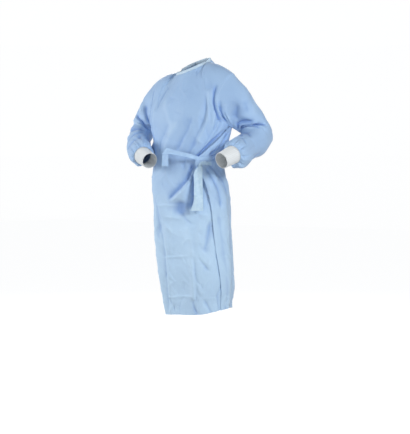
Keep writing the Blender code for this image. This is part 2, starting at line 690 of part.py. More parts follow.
def armhole_normal(arm, t, back):
    """The direction of the armhole seam's edge faces, shared by panel and sleeve."""
    turn = armhole_turn(t)
    sleeve_turn = 360 - turn if back else turn
    angle = 90 if arm.side > 0 else 270 if back else -90
    panel = body_normal(np.full_like(t, angle), 1 + t, back)
    panel = np.where(t[..., None] > 1 - HOLE_SHARE, shoulder_normal(np.full_like(t, 90), arm.side), panel)
    sleeve = sleeve_normal(arm, sleeve_turn, np.full_like(t, HOLE_SHARE))
    return unit(panel + sleeve)


def with_seam_edges(normals, angles, rises, edges, back):
    """The same directions, with those along the shoulder and armhole seams shared."""
    shared = normals.copy()
    for column, angle in enumerate(angles[-1]):
        centred = 180 - angle if back else angle
        if abs(centred) >= NECK_ANGLE:
            side = 1 if centred > 0 else -1
            shared[-1, column] = shoulder_normal(abs(centred), side)
    for arm, column in edges:
        for row, rise in enumerate(rises):
            if rise > 1:
                shared[row, column] = armhole_normal(arm, np.array([rise - 1]), back)[0]
    return shared


def side_seam_gap(angles, rises, column, inward):
    """Angles with one side column moved in by half a seam, below the armhole."""
    angles[rises <= 1, column] += inward * SEAM / 2 / CLOTH_PER_DEGREE


def front_grid(rises):
    """Outer points and directions of the front panel."""
    angles = np.arange(-90, 90 + COLUMN_ANGLE / 2, COLUMN_ANGLE)
    angles = np.tile(angles, (len(rises), 1))
    side_seam_gap(angles, rises, 0, 1)
    side_seam_gap(angles, rises, -1, -1)
    outer, normals = front_cloth(angles, np.tile(rises[:, None], angles.shape[1]))
    return outer, with_seam_edges(normals, angles, rises, ((RIGHT, 0), (LEFT, -1)), False)


def back_left_grid(rises):
    """Outer points and directions of the left back panel, which ends under the wrap."""
    angles = np.arange(90, UNDER_END + COLUMN_ANGLE / 2, COLUMN_ANGLE)
    angles = np.tile(angles, (len(rises), 1))
    side_seam_gap(angles, rises, 0, 1)
    outer, normals = back_cloth(angles, np.tile(rises[:, None], angles.shape[1]), False)
    return outer, with_seam_edges(normals, angles, rises, ((LEFT, 0),), True)


def back_right_grid(rises):
    """Outer points and directions of the right back panel with its wrap-round flap."""
    fixed = np.arange(UNDER_END, 270 + COLUMN_ANGLE / 2, COLUMN_ANGLE)
    share = np.linspace(0, 1, FLAP_FREE_COLUMNS, endpoint=False)
    rows = []
    for rise in rises:
        edge = UNDER_END
        for _ in range(EDGE_PASSES):
            edge = float(flap_angle(cloth_height(np.array(edge), np.array(rise))))
        rows.append(np.concatenate([edge + share * (UNDER_END - edge), fixed]))
    angles = np.array(rows)
    side_seam_gap(angles, rises, -1, -1)
    outer, normals = back_cloth(angles, np.tile(rises[:, None], angles.shape[1]), True)
    return outer, with_seam_edges(normals, angles, rises, ((RIGHT, -1),), True)


def panel(name, grid, finish, collection):
    """A body panel: a wall under its outer points."""
    outer, normals = grid
    add_piece(name, wall_mesh(name, outer, outer - WALL * normals), finish, collection)


def sleeve_turns():
    """Angles of the sleeve's columns, two for each row of the armhole's edges."""
    hole = armhole_turn(np.linspace(1, 0, YOKE_ROWS + 1))
    hole = np.concatenate([hole, 360 - hole[::-1][1:]])
    turns = np.interp(np.arange(0, SLEEVE_COLUMNS, 0.5), np.arange(len(hole)), hole)
    return turns[:SLEEVE_COLUMNS]


def sleeve_cloth(arm, turn, share):
    """Outer points and directions of a sleeve, with its folds and the gathers at the wrist."""
    normal = sleeve_normal(arm, turn, share)
    lift = np.zeros(np.broadcast(turn, share).shape)
    for lap in (-360, 0, 360):
        lift = lift + relief(arm.folds, turn + lap, share, SLEEVE_SCALE, -1)
    fade = smooth_step((GATHER_END - share) / (GATHER_END - SLEEVE_FOLD_END))
    lift = lift * smooth_step(share / SLEEVE_FOLD_START) * fade
    gather = smooth_step((share - GATHER_START) / (GATHER_FULL - GATHER_START))
    gather = gather * smooth_step((1 - share) / (1 - GATHER_END))
    lift = lift + GATHER_HEIGHT * gather * (1 + np.cos(np.radians(GATHERS * turn))) / 2
    return sleeve_point(arm, turn, share) + lift[..., None] * normal, normal


def sleeve(name, arm, finish, collection):
    """A sleeve from the armhole seam to its gathered wrist."""
    turns = sleeve_turns()
    shares = np.linspace(0, EVEN_SLEEVE_END, SLEEVE_ROWS + 1 - len(WRIST_ROWS))
    shares = np.concatenate([shares, WRIST_ROWS])
    turn, share = np.meshgrid(turns, shares)
    outer, normals = sleeve_cloth(arm, turn, share)
    hole = turns[::2]
    for column, angle in enumerate(hole):
        back = angle > 180
        climb = (1 - (360 - angle if back else angle) / 180) ** (1 / ARMHOLE_EVENNESS)
        normal = armhole_normal(arm, np.array([climb]), back)[0]
        ahead = sleeve_point(arm, angle, HOLE_SHARE) - sleeve_point(arm, angle, 0.0)
        tangent = unit(sleeve_point(arm, angle + 1, 0.0) - sleeve_point(arm, angle - 1, 0.0))
        ahead = ahead - (ahead @ normal) * normal - (ahead @ tangent) * tangent
        outer[0, 2 * column] = sleeve_point(arm, angle, 0.0) + SEAM * unit(ahead)
        normals[0, 2 * column] = normal
    following = np.roll(outer[0, ::2], -1, axis=0)
    outer[0, 1::2] = (outer[0, ::2] + following) / 2
    normals[0, 1::2] = (normals[0, ::2] + np.roll(normals[0, ::2], -1, axis=0)) / 2
    if arm.side < 0:
        outer = outer[:, ::-1]
        normals = normals[:, ::-1]
    add_piece(name, wall_mesh(name, outer, outer - WALL * normals, closed=True), finish, collection)


def cuff(name, arm, finish, collection):
    """A ribbed knit cuff that starts inside the gathered end of its sleeve."""
    centres, out, ahead, along = arm_frames(arm)
    wrist = centres[-1]
    end = np.array(arm.cuff_end)
    axis = unit(end - wrist)
    last_out = unit(out[-1] - (out[-1] @ axis) * axis)
    last_ahead = arm.side * np.cross(axis, last_out)
    start_radius = arm.sections[-1].outer - WALL - WRIST_GAP - RIB_HEIGHT
    turns = np.arange(2 * CUFF_RIBS) * 180 / CUFF_RIBS
    ribs = np.where(np.arange(2 * CUFF_RIBS) % 2 == 0, RIB_HEIGHT, 0)
    rings = (
        (wrist - CUFF_TUCK * along[-1], out[-1], ahead[-1], start_radius),
        (wrist + CUFF_OUT * along[-1], out[-1], ahead[-1], start_radius),
        ((wrist + end) / 2, last_out, last_ahead, (start_radius + CUFF_END_RADIUS) / 2),
        (end, last_out, last_ahead, CUFF_END_RADIUS),
    )
    outer = []
    inner = []
    for centre, side, front, radius in rings:
        spoke = np.cos(np.radians(turns))[:, None] * side + np.sin(np.radians(turns))[:, None] * front
        outer.append(centre + spoke * (radius + ribs)[:, None])
        inner.append(centre + spoke * (radius - KNIT_WALL))
    outer = np.array(outer)
    inner = np.array(inner)
    if arm.side < 0:
        outer = outer[:, ::-1]
        inner = inner[:, ::-1]
    add_piece(name, wall_mesh(name, outer, inner, closed=True), finish, collection)


def neck_binding(grids, finish, collection):
    """The band that stands on the neck edge, from the flap's corner round to the panel under it."""
    front, back_left, back_right = grids
    corner = int(NECK_ANGLE / COLUMN_ANGLE)
    side = int(90 / COLUMN_ANGLE)
    flap_columns = FLAP_FREE_COLUMNS + int((270 - UNDER_END) / COLUMN_ANGLE) + 1
    flap_end = flap_columns - 1 - (side - corner)
    base = []
    facing = []
    for (outer, normals), columns in (
        (back_right, range(0, flap_end)),
        (front, range(side - corner, side + corner + 1)),
        (back_left, range(side - corner + 1, back_left[0].shape[1])),
    ):
        base.extend(outer[-1, column] for column in columns)
        facing.extend(normals[-1, column] for column in columns)
    base = np.array(base)
    facing = np.array(facing)
    tangent = unit(np.gradient(base, axis=0))
    upward = unit(np.cross(facing, tangent))
    stand = unit(upward + BINDING_UPRIGHT * np.array([0, 0, 1]))
    low = base + NECK_SEAM * upward
    outer = np.array([low, low + BINDING_HEIGHT / 2 * unit(upward + stand), low + BINDING_HEIGHT * stand])
    outward = unit(np.cross(tangent, stand))
    normals = np.array([facing, unit(facing + outward), outward])
    mesh = wall_mesh("neck_binding", outer, outer - WALL * normals)
    add_piece("neck_binding", mesh, finish, collection)


def neck_tab(back_right, finish, collection):
    """The plain closure tab at the back of the neck, laid on the flap's own points."""
    outer, normals = back_right
    columns = slice(TAB_FIRST_COLUMN, TAB_FIRST_COLUMN + TAB_COLUMNS)
    low = outer[-2, columns]
    rise = outer[-1, columns] - low
    rows = np.array([low + TAB_LOW * rise, low + TAB_HIGH * rise])
    out = unit(normals[-2, columns] + normals[-1, columns])
    out = np.array([out, out])
    top = rows + (ON_CLOTH + TAB_WALL) * out
    add_piece("neck_tab", wall_mesh("neck_tab", top, top - TAB_WALL * out), finish, collection)


def on_grid(grid, column, height):
    """A point and direction on a panel's own faces, at a fractional column and a height."""
    outer, normals = grid
    left = int(column)
    part = column - left
    line = outer[:, left] * (1 - part) + outer[:, left + 1] * part
    facing = normals[:, left] * (1 - part) + normals[:, left + 1] * part
    row = np.interp(height, line[:, 2], np.arange(len(line)))
    low = int(row)
    share = row - low
    return (line[low] * (1 - share) + line[low + 1] * share,
            unit(facing[low] * (1 - share) + facing[low + 1] * share))


def tie_root(grid, columns, height):
    """Rows of a tie where it is sewn on the flap."""
    rows = []
    for column in columns:
        low, _ = on_grid(grid, column, height - TIE_HALF_WIDTH)
        high, _ = on_grid(grid, column, height + TIE_HALF_WIDTH)
        _, out = on_grid(grid, column, height)
        middle = (low + high) / 2 + (ON_CLOTH + TIE_WALL) * out
        rows.append(TieRow(*middle, *(high - low) / 2, *out))
    return rows


def tie(name, rows, finish, collection):
    """A flat tie through its rows."""
    rows = np.array(rows, dtype=float)
    middle, half, out = rows[:, :3], rows[:, 3:6], unit(rows[:, 6:])
    outer = np.stack([middle - half, middle + half], axis=1)
    inner = outer - TIE_WALL * out[:, None]
    mesh = wall_mesh(name, outer, inner)
    add_piece(name, mesh, finish, collection)


def main():
    """Builds the whole gown."""
    for old in list(bpy.data.objects):
        bpy.data.objects.remove(old, do_unlink=True)
    collection = bpy.data.collections.new("surgical_gown")
    bpy.context.scene.collection.children.link(collection)
    cloth = material("gown_cloth", CLOTH_BLUE, CLOTH_ROUGHNESS)
    trim = material("neck_binding_cloth", BINDING_BLUE, CLOTH_ROUGHNESS)
    knit = material("cuff_knit", KNIT_WHITE, KNIT_ROUGHNESS)
    tape = material("tie_cloth", TIE_BLUE, CLOTH_ROUGHNESS)
    rises = body_rows()
    front = front_grid(rises)
    back_left = back_left_grid(rises)
    back_right = back_right_grid(rises)
    panel("front_panel", front, cloth, collection)
    panel("back_panel_left", back_left, cloth, collection)
    panel("back_panel_right", back_right, cloth, collection)
    for label, arm in (("left", LEFT), ("right", RIGHT)):
        sleeve(f"sleeve_{label}", arm, cloth, collection)
        cuff(f"cuff_{label}", arm, knit, collection)
    neck_binding((front, back_left, back_right), trim, collection)
    neck_tab(back_right, trim, collection)
    root = tie_root(back_right, FLAP_TIE_ROOT, TIE_HEIGHT)
    tie("flap_tie", root + list(FLAP_TIE), tape, collection)
    root = tie_root(back_right, WAIST_TIE_ROOT, TIE_HEIGHT - WAIST_TIE_DROP)
    tie("waist_tie", root + list(WAIST_TIE), tape, collection)


main()
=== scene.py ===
"""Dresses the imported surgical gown: fine thin cloth, creases, knit, stitching, materials, light and camera.

The cloth follows the same rings, sections and folds as the solids. An angle round the body is in degrees:
0 at the middle of the front, 90 at the wearer's left side seam, 180 at the back, 270 at the right.
"""
import math
from collections import namedtuple

import bpy
import numpy as np
from mathutils import Euler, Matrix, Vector


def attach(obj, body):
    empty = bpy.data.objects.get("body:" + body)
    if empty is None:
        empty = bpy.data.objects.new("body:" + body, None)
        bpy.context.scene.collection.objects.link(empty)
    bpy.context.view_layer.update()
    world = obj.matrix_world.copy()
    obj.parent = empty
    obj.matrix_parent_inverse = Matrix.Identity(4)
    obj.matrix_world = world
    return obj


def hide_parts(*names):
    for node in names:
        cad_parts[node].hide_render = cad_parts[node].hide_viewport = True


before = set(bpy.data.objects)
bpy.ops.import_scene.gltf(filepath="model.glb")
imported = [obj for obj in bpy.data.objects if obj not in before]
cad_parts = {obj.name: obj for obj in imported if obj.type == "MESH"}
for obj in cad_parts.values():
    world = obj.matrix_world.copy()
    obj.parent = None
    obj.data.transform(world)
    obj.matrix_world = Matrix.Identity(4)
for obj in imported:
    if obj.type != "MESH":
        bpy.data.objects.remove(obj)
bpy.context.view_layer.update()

# Steps over which directions are measured: round the body and up it, and round and along a sleeve
NORMAL_ANGLE_STEP = 3.0
NORMAL_RISE_STEP = 0.03
NORMAL_TURN_STEP = 2.0
NORMAL_SHARE_STEP = 0.01
Fold = namedtuple("Fold", "path near far height")


def thousandths(kind, *rows):
    """Rows of one kind, given in thousandths."""
    return tuple(kind(*(value / 1000 for value in row)) for row in rows)


def fold_table(*rows):
    """Folds from rows of near half width, far half width, height, and the points of the path.

    A point is an angle in degrees and a place along the cloth. All but the angles are in thousandths.
    """
    return tuple(Fold(tuple((angle, place / 1000) for angle, place in path), near / 1000, far / 1000,
                      height / 1000) for near, far, height, *path in rows)


# Body of the gown: level rings from the hem to the underarm, in thousandths
Ring = namedtuple("Ring", "height half_width front back shift_x shift_y squareness")
RINGS = thousandths(
    Ring,
    (-1130, 151, 113, 118, 2, 35, 2200),
    (-1064, 155, 119, 122, 0, 30, 2200),
    (-993, 165, 126, 129, 2, 24, 2200),
    (-920, 170, 130, 130, 2, 14, 2200),
    (-830, 172, 131, 128, -1, 6, 2200),
    (-740, 175, 134, 125, -5, 0, 2200),
    (-605, 180, 140, 122, -6, -8, 2200),
    (-540, 177, 140, 118, -10, -10, 2200),
    (-475, 167, 136, 112, -17, -12, 2200),
    (-430, 161, 132, 109, -18, -12, 2200),
    (-340, 176, 134, 116, -4, -12, 2300),
    (-270, 190, 131, 124, -5, -10, 2400),
    (-220, 191, 130, 125, -4, -8, 2400),
)
UNDERARM = -0.27
CLOTH_PER_DEGREE = 0.0028

HemPoint = namedtuple("HemPoint", "angle height")
HEM = (
    HemPoint(0, -1.112),
    HemPoint(45, -1.100),
    HemPoint(76, -1.088),
    HemPoint(100, -1.082),
    HemPoint(140, -1.094),
    HemPoint(180, -1.108),
    HemPoint(230, -1.117),
    HemPoint(270, -1.120),
    HemPoint(315, -1.119),
    HemPoint(360, -1.112),
)

# Yoke: neck opening, shoulder seams and armholes
NECK_HALF_WIDTH = 0.081
NECK_FRONT = (-0.078, -0.045)
NECK_SIDE = (0.012, -0.008)
NECK_BACK = (0.075, 0.018)
NECK_TILT = 0.018
NECK_ANGLE = 60.0
SHOULDER_TIP = (0.205, 0.012, -0.056)
SHOULDER_TILT = 0.009
SHOULDER_BOW = 0.008
ARMHOLE_FRONT = 0.070
ARMHOLE_BACK = 0.064
ARMHOLE_HOLLOW = 0.018
ARMHOLE_EVENNESS = 0.8
ARMHOLE_BLEND = 6

# How the yoke leaves the underarm ring and how it comes over the shoulder
Flow = namedtuple("Flow", "angle low_x low_y low_z top_x top_y top_z")
FRONT_FLOW = (
    Flow(0, 0.00, 0.00, 0.26, 0.00, 0.07, 0.17),
    Flow(30, 0.02, -0.01, 0.26, -0.02, 0.10, 0.17),
    Flow(45, 0.02, -0.04, 0.27, -0.02, 0.17, 0.13),
    Flow(60, 0.01, -0.09, 0.26, 0.00, 0.28, 0.00),
    Flow(75, -0.02, -0.16, 0.22, 0.00, 0.30, 0.00),
    Flow(90, -0.05, -0.28, 0.14, 0.00, 0.26, 0.00),
)
BACK_FLOW = (
    Flow(0, 0.00, 0.05, 0.27, 0.00, -0.13, 0.12),
    Flow(30, 0.02, 0.06, 0.27, -0.02, -0.16, 0.11),
    Flow(45, 0.02, 0.08, 0.27, -0.02, -0.22, 0.07),
    Flow(60, 0.01, 0.12, 0.26, 0.00, -0.30, 0.00),
    Flow(75, -0.02, 0.18, 0.22, 0.00, -0.30, 0.00),
    Flow(90, -0.05, 0.28, 0.14, 0.00, -0.26, 0.00),
)

# Wrap: the right back panel goes on round the back and the left side, over the panels there
EdgePoint = namedtuple("EdgePoint", "height angle")
FLAP_EDGE = (
    EdgePoint(-1.13, 77),
    EdgePoint(-1.00, 74),
    EdgePoint(-0.80, 66),
    EdgePoint(-0.70, 63),
    EdgePoint(-0.60, 58),
    EdgePoint(-0.52, 52),
    EdgePoint(-0.42, 43),
    EdgePoint(-0.37, 57),
    EdgePoint(-0.32, 77),
    EdgePoint(-0.285, 93),
    EdgePoint(-0.24, 114),
    EdgePoint(-0.19, 128),
    EdgePoint(-0.10, 150),
    EdgePoint(0.00, 165),
)
# Where the left back panel ends under the wrap; how far the wrap stands off it, and between which angles
UNDER_END = 195.0
LIFT = 0.0043
LIFT_START = 232.0
LIFT_FULL = 203.0
# Passes in which the place of the wrap's edge on a row is found
EDGE_PASSES = 6
# The tent that the pulled tie makes at the wrap's edge: height, how far up and down, and round
TIE_HEIGHT = -0.4155
TENT = 0.024
TENT_UP = 0.085
TENT_DOWN = 0.17
TENT_ANGLE = 48.0

# Largest folds: a ridge or, with a negative height, a trough along a path on the body
BODY_FOLDS = fold_table(
    (22, 34, 14, (41, -440), (30, -520), (12, -600), (-2, -640)),
    (30, 30, -8, (40, -460), (33, -560), (26, -660), (22, -740)),
    (40, 30, 7, (20, -700), (22, -850), (25, -1000), (27, -1130)),
    (35, 35, 8, (-40, -620), (-42, -800), (-44, -1000), (-45, -1130)),
    (35, 45, -6, (-5, -780), (-6, -950), (-8, -1130)),
    (30, 30, -7, (-75, -600), (-78, -850), (-80, -1130)),
    (22, 26, -7, (60, -140), (45, -240), (28, -330), (15, -400)),
    (22, 24, -6, (-62, -140), (-48, -240), (-40, -340), (-38, -420)),
    (26, 26, 5, (20, -120), (12, -240), (2, -340)),
    (30, 30, 7, (150, -100), (160, -300), (165, -520)),
    (30, 30, -7, (215, -120), (208, -300), (205, -500)),
    (35, 35, 10, (130, -550), (128, -800), (126, -1130)),
    (35, 35, -9, (165, -500), (168, -800), (170, -1130)),
    (35, 35, 11, (200, -480), (203, -750), (206, -1130)),
    (32, 32, -9, (238, -500), (240, -800), (243, -1130)),
)
FLAP_FOLDS = fold_table(
    (12, 18, 8, (92, -290), (74, -350), (58, -400)),
    (12, 18, 7, (100, -320), (84, -380), (64, -420)),
    (16, 24, 8, (52, -440), (66, -540), (78, -640)),
    (26, 30, 6, (88, -550), (90, -800), (92, -1130)),
)
FOLD_TAPER = 0.10
HEM_FOLDS_OPEN = -1.0

# Creases: how much stronger than in their tables, how they end, how sharp their crest is, and where
# folds fade near the armholes and the shoulder seams
BODY_CREASE_GAIN = 1.7
SLEEVE_CREASE_GAIN = 2.1
CREASE_TAPER = 0.032
CREASE_CREST = 1.2
FADE_ANGLE = 22
FADE_TOP = 0.25
FADE_LOW = 0.12

# Sleeves: sections square to the arm, from below the armhole to the wrist, in thousandths
Section = namedtuple("Section", "x y z outer inner front back")
LEFT_ARM = thousandths(
    Section,
    (214, 22, -168, 72, 50, 74, 80),
    (230, 56, -216, 67, 62, 68, 74),
    (246, 90, -258, 68, 64, 66, 78),
    (260, 108, -298, 71, 54, 74, 88),
    (270, 72, -338, 65, 56, 60, 80),
    (278, 20, -360, 56, 62, 58, 66),
    (284, -28, -378, 53, 60, 58, 66),
    (288, -70, -391, 54, 60, 58, 70),
    (289, -100, -400, 50, 54, 52, 62),
    (288, -114, -405, 41, 41, 41, 41),
)
RIGHT_ARM = thousandths(
    Section,
    (-212, 14, -170, 70, 50, 72, 80),
    (-246, 20, -212, 68, 64, 68, 74),
    (-272, 20, -248, 66, 64, 66, 74),
    (-284, 2, -286, 58, 49, 62, 76),
    (-276, -38, -322, 50, 49, 60, 68),
    (-254, -78, -350, 48, 60, 60, 60),
    (-224, -114, -372, 48, 58, 60, 56),
    (-188, -144, -390, 49, 54, 60, 56),
    (-162, -162, -400, 46, 48, 54, 50),
    (-149, -171, -405, 41, 41, 41, 41),
)
# Sleeve folds: the path is in degrees round the sleeve and thousandths of its length
SLEEVE_SCALE = (0.00115, 0.45)
SLEEVE_BACK_FOLDS = fold_table(
    (20, 20, 6, (250, 300), (290, 380), (320, 460)),
    (20, 20, -6, (200, 120), (240, 110), (290, 120)),
)
LEFT_SLEEVE_FOLDS = fold_table(
    (16, 20, -10, (130, 430), (85, 400), (35, 350), (-15, 360)),
    (16, 16, 6, (125, 460), (85, 470), (40, 470)),
    (16, 20, -7, (120, 500), (80, 540), (35, 600)),
    (18, 20, -8, (35, 100), (75, 90), (120, 110)),
    (18, 18, -6, (50, 240), (85, 280), (115, 360)),
) + SLEEVE_BACK_FOLDS
RIGHT_SLEEVE_FOLDS = fold_table(
    (16, 20, -10, (-25, 340), (25, 380), (75, 420), (120, 440)),
    (16, 16, 6, (-20, 420), (30, 460), (80, 480)),
    (16, 20, -7, (0, 560), (40, 540), (90, 520)),
    (18, 20, -8, (35, 100), (75, 90), (120, 110)),
    (18, 18, -6, (20, 220), (60, 260), (105, 340)),
) + SLEEVE_BACK_FOLDS
Arm = namedtuple("Arm", "side sections folds out_at_shoulder out_at_wrist clearance cuff_end")
LEFT = Arm(1, LEFT_ARM, LEFT_SLEEVE_FOLDS, (0.98, 0.00, 0.20), (0.964, 0.074, 0.247), 0.009,
           (0.274, -0.178, -0.431))
RIGHT = Arm(-1, RIGHT_ARM, RIGHT_SLEEVE_FOLDS, (-0.98, 0.00, 0.20), (-0.72, -0.66, 0.20), 0.007,
            (-0.086, -0.203, -0.428))
GATHERS = 9
GATHER_HEIGHT = 0.006
GATHER_START = 0.72
GATHER_FULL = 0.93
GATHER_END = 0.95
SLEEVE_FOLD_START = 0.08
SLEEVE_FOLD_END = 0.85
OUT_TURN = 1.6
HOLE_SHARE = 0.02
WRIST_SECTIONS = 2
# Sections above the elbow, whose inner side runs straight from the underarm to the elbow
UPPER_SECTIONS = 3
WRIST_GAP = 0.0006
CUFF_END_RADIUS = 0.034
CUFF_TUCK = 0.007
CUFF_OUT = 0.002
MIN_REACH = 0.05
RIB_HEIGHT = 0.0007

# Neck binding, neck tab and ties
BINDING_HEIGHT = 0.012
BINDING_UPRIGHT = 0.8
TAB_FIRST_COLUMN = 2
TAB_COLUMNS = 10
TAB_LOW = 0.12
TAB_HIGH = 0.82
TIE_HALF_WIDTH = 0.009
WAIST_TIE_DROP = 0.026
# Columns of the flap, counted from its free edge, that each tie is sewn along
FLAP_TIE_ROOT = (3, 2, 1, 0.3)
WAIST_TIE_ROOT = (3, 2, 1)

# Free rows of the ties: the middle, half the width as a vector, and the side that faces out,
# in thousandths
TieRow = namedtuple("TieRow", "x y z half_x half_y half_z out_x out_y out_z")
FLAP_TIE = thousandths(
    TieRow,
    (104, -164, -409, 0, 0, 9, 550, -830, 0),
    (70, -182, -400, 0, 0, 9, 400, -920, 0),
    (35, -193, -392, 0, 0, 10, 200, -980, 0),
    (12, -197, -388, 0, 0, 12, 100, -990, 0),
    (-4, -198.5, -388, 8, 0, 13, -200, -950, 150),
    (-12.5, -196, -385.5, 13, 0, 12, -700, 0, 700),
    (-10, -193, -393, 15, 0, 9, -100, 970, 150),
    (-9, -193, -408, 17, 0, 2, 0, 1000, 0),
    (-10, -193, -428, 17, 0, 0, 0, 1000, 0),
    (-10, -194, -452, 17, 0, 0, 0, 1000, 0),
)
WAIST_TIE = thousandths(
    TieRow,
    (131.5, -121.6, -443.1, -3, -3.3, 7.8, 700, -710, 0),
    (130.7, -126.8, -447.5, -5.2, -5.7, 4.5, 690, -720, 0),
    (131.9, -130, -453.5, -6.6, -6.8, 0.8, 670, -740, 0),
    (129, -134, -464, -11, -10, 0, 640, -770, 0),
    (127, -137, -480, -14.5, -11, 0, 600, -800, 0),
    (127, -137.5, -520, -15, -10.5, 0, 570, -820, 0),
    (128, -138, -560, -16, -11, 0, 570, -820, 0),
    (129, -139, -600, -16.5, -11.5, 0, 570, -820, 0),
    (122, -142, -645, -23, -16, 0, 570, -820, 0),
)

# Thin walls of the dressed gown; their outer faces follow the solids' outer faces
SOLID_WALL = 0.0012
CLOTH = 0.0007
TAPE = 0.0008
KNIT = 0.0011
SEAM = 0.0003
NECK_SEAM = 0.0007
ON_CLOTH = 0.0006
SHARP_ANGLE = 50

# Fine mesh, about 4 to 5 mm between points
SKIRT_STEPS = 200
YOKE_STEPS = 62
YOKE_LENGTH = 0.3
DEGREES_A_COLUMN = 1.5
FLAP_STEPS = 84
SLEEVE_TURNS = 108
SLEEVE_STEPS = 156

# Creases laid on the largest folds, in rows like theirs. Front panel:
FRONT_CREASES = fold_table(
    # the hard line from the tie point across the belly, with the light ridge below it
    (7, 13, -8.5, (41, -430), (34, -472), (27, -510), (14, -543), (2, -573), (-8, -606)),
    (9, 7, 4, (40, -455), (31, -508), (17, -562), (4, -592), (-4, -612)),
    (24, 30, -7.5, (12, -590), (10, -675)),
    (10, 18, -7, (38, -470), (32, -570), (26, -650)),
    (7, 10, -4.5, (44, -450), (42, -520), (38, -600)),
    (8, 12, 3, (30, -600), (34, -660)),
    # soft slanting folds of the chest
    (7, 12, 2.2, (-22, -120), (-17, -165), (-8, -210), (-2, -270), (-3, -330)),
    (8, 13, -3.5, (26, -225), (20, -285), (12, -345), (6, -395)),
    (8, 12, -3, (58, -160), (49, -215), (41, -270), (34, -330), (28, -385)),
    (8, 9, 2.8, (70, -140), (60, -190), (50, -255), (43, -310), (38, -365)),
    (6, 10, -2.2, (82, -225), (70, -270), (58, -325), (49, -385)),
    (8, 8, 2.8, (80, -200), (66, -245), (54, -300)),
    (8, 12, -2.6, (-30, -60), (-33, -110), (-34, -160), (-31, -215)),
    (9, 13, 3, (-40, -180), (-38, -240), (-38, -310), (-45, -375)),
    (9, 14, -3, (-3, -258), (-12, -305), (-22, -345), (-26, -400)),
    (8, 13, 2.2, (8, -240), (-2, -310), (-10, -360), (-14, -410)),
    (12, 14, -4.5, (-52, -300), (-49, -355), (-50, -420), (-52, -480)),
    (8, 13, -2.8, (40, -330), (30, -385), (24, -430), (20, -480)),
    (9, 14, 2.2, (-8, -400), (-14, -450), (-24, -500)),
    (20, 32, -5, (88, -165), (85, -215), (86, -262)),
    # the right side, against the sleeve
    (34, 34, 7.5, (-64, -335), (-68, -390), (-72, -450)),
    # pulls into the armholes
    (9, 12, -6.8, (85, -105), (82, -140), (78, -185), (80, -230), (84, -268)),
    (10, 12, -2.2, (78, -120), (68, -145), (56, -150)),
    (12, 10, -4.5, (-84, -90), (-80, -140), (-76, -200), (-80, -255)),
    (10, 12, -3.5, (-78, -220), (-66, -270), (-57, -330)),
    (8, 12, -2, (84, -252), (74, -292), (65, -338), (58, -390)),
    # lines left by the pressed folds of the pack
    (4.2, 6, 1.6, (-1, -620), (-2, -708), (-8, -843), (-15, -979), (-19, -1112)),
    (4.2, 5, 1.2, (-46, -628), (-28, -626), (-6, -624), (16, -622)),
    (5, 4.2, 1.6, (-20, -674), (-2, -678), (16, -685)),
    (4.2, 5, 1.4, (25, -653), (43, -661), (62, -671)),
    (5, 5, -1, (24, -672), (42, -682), (60, -694)),
    (4.2, 5, 1.5, (-30, -858), (-9, -854), (8, -847), (24, -843)),
    (4.2, 5, 1.4, (-36, -1040), (-18, -1036), (1, -1028), (19, -1023)),
    (4.6, 4.6, 1, (-62, -850), (-45, -853), (-32, -856)),
    (4.6, 4.6, 1, (30, -1030), (48, -1033), (64, -1036)),
    # the light upright band and the small folds beside it
    (7, 26, 3, (20, -700), (25, -790), (26, -860)),
    (6, 16, 3, (23, -840), (23, -930), (22, -1030)),
    (6, 6, -1.8, (27, -840), (28, -930), (27, -1040)),
    (6, 8, -2.4, (31, -845), (38, -862), (45, -888), (52, -915)),
    (6, 6, 1.8, (34, -842), (42, -870), (50, -898)),
    (6, 8, 1.8, (57, -845), (52, -875), (48, -905)),
    (18, 12, -4, (60, -680), (56, -730), (50, -790), (44, -840)),
    (14, 20, 3, (40, -690), (38, -750), (34, -810)),
    # upright folds of the right side of the skirt
    (9, 12, -2.8, (-34, -600), (-30, -680), (-27, -760)),
    (8, 14, -2.6, (-26, -690), (-22, -800), (-25, -960), (-30, -1112)),
    (7, 12, 2.2, (-14, -700), (-15, -820), (-20, -960), (-27, -1112)),
    (12, 16, -3.5, (-58, -560), (-56, -680), (-60, -800)),
    (12, 18, 3, (-52, -720), (-54, -880), (-58, -1020)),
    (12, 14, -3, (-68, -860), (-68, -980), (-70, -1112)),
    # short creases at the hem
    (5, 7, -3, (-16, -1062), (-18, -1090), (-19, -1125)),
    (6, 9, -3.2, (19, -1022), (22, -1060), (27, -1112)),
    (6, 9, -3, (38, -1028), (46, -1060), (54, -1096)),
    (7, 9, -2.8, (66, -1000), (70, -1040), (74, -1090)),
    (7, 10, -2.5, (-48, -1060), (-50, -1112)),
)

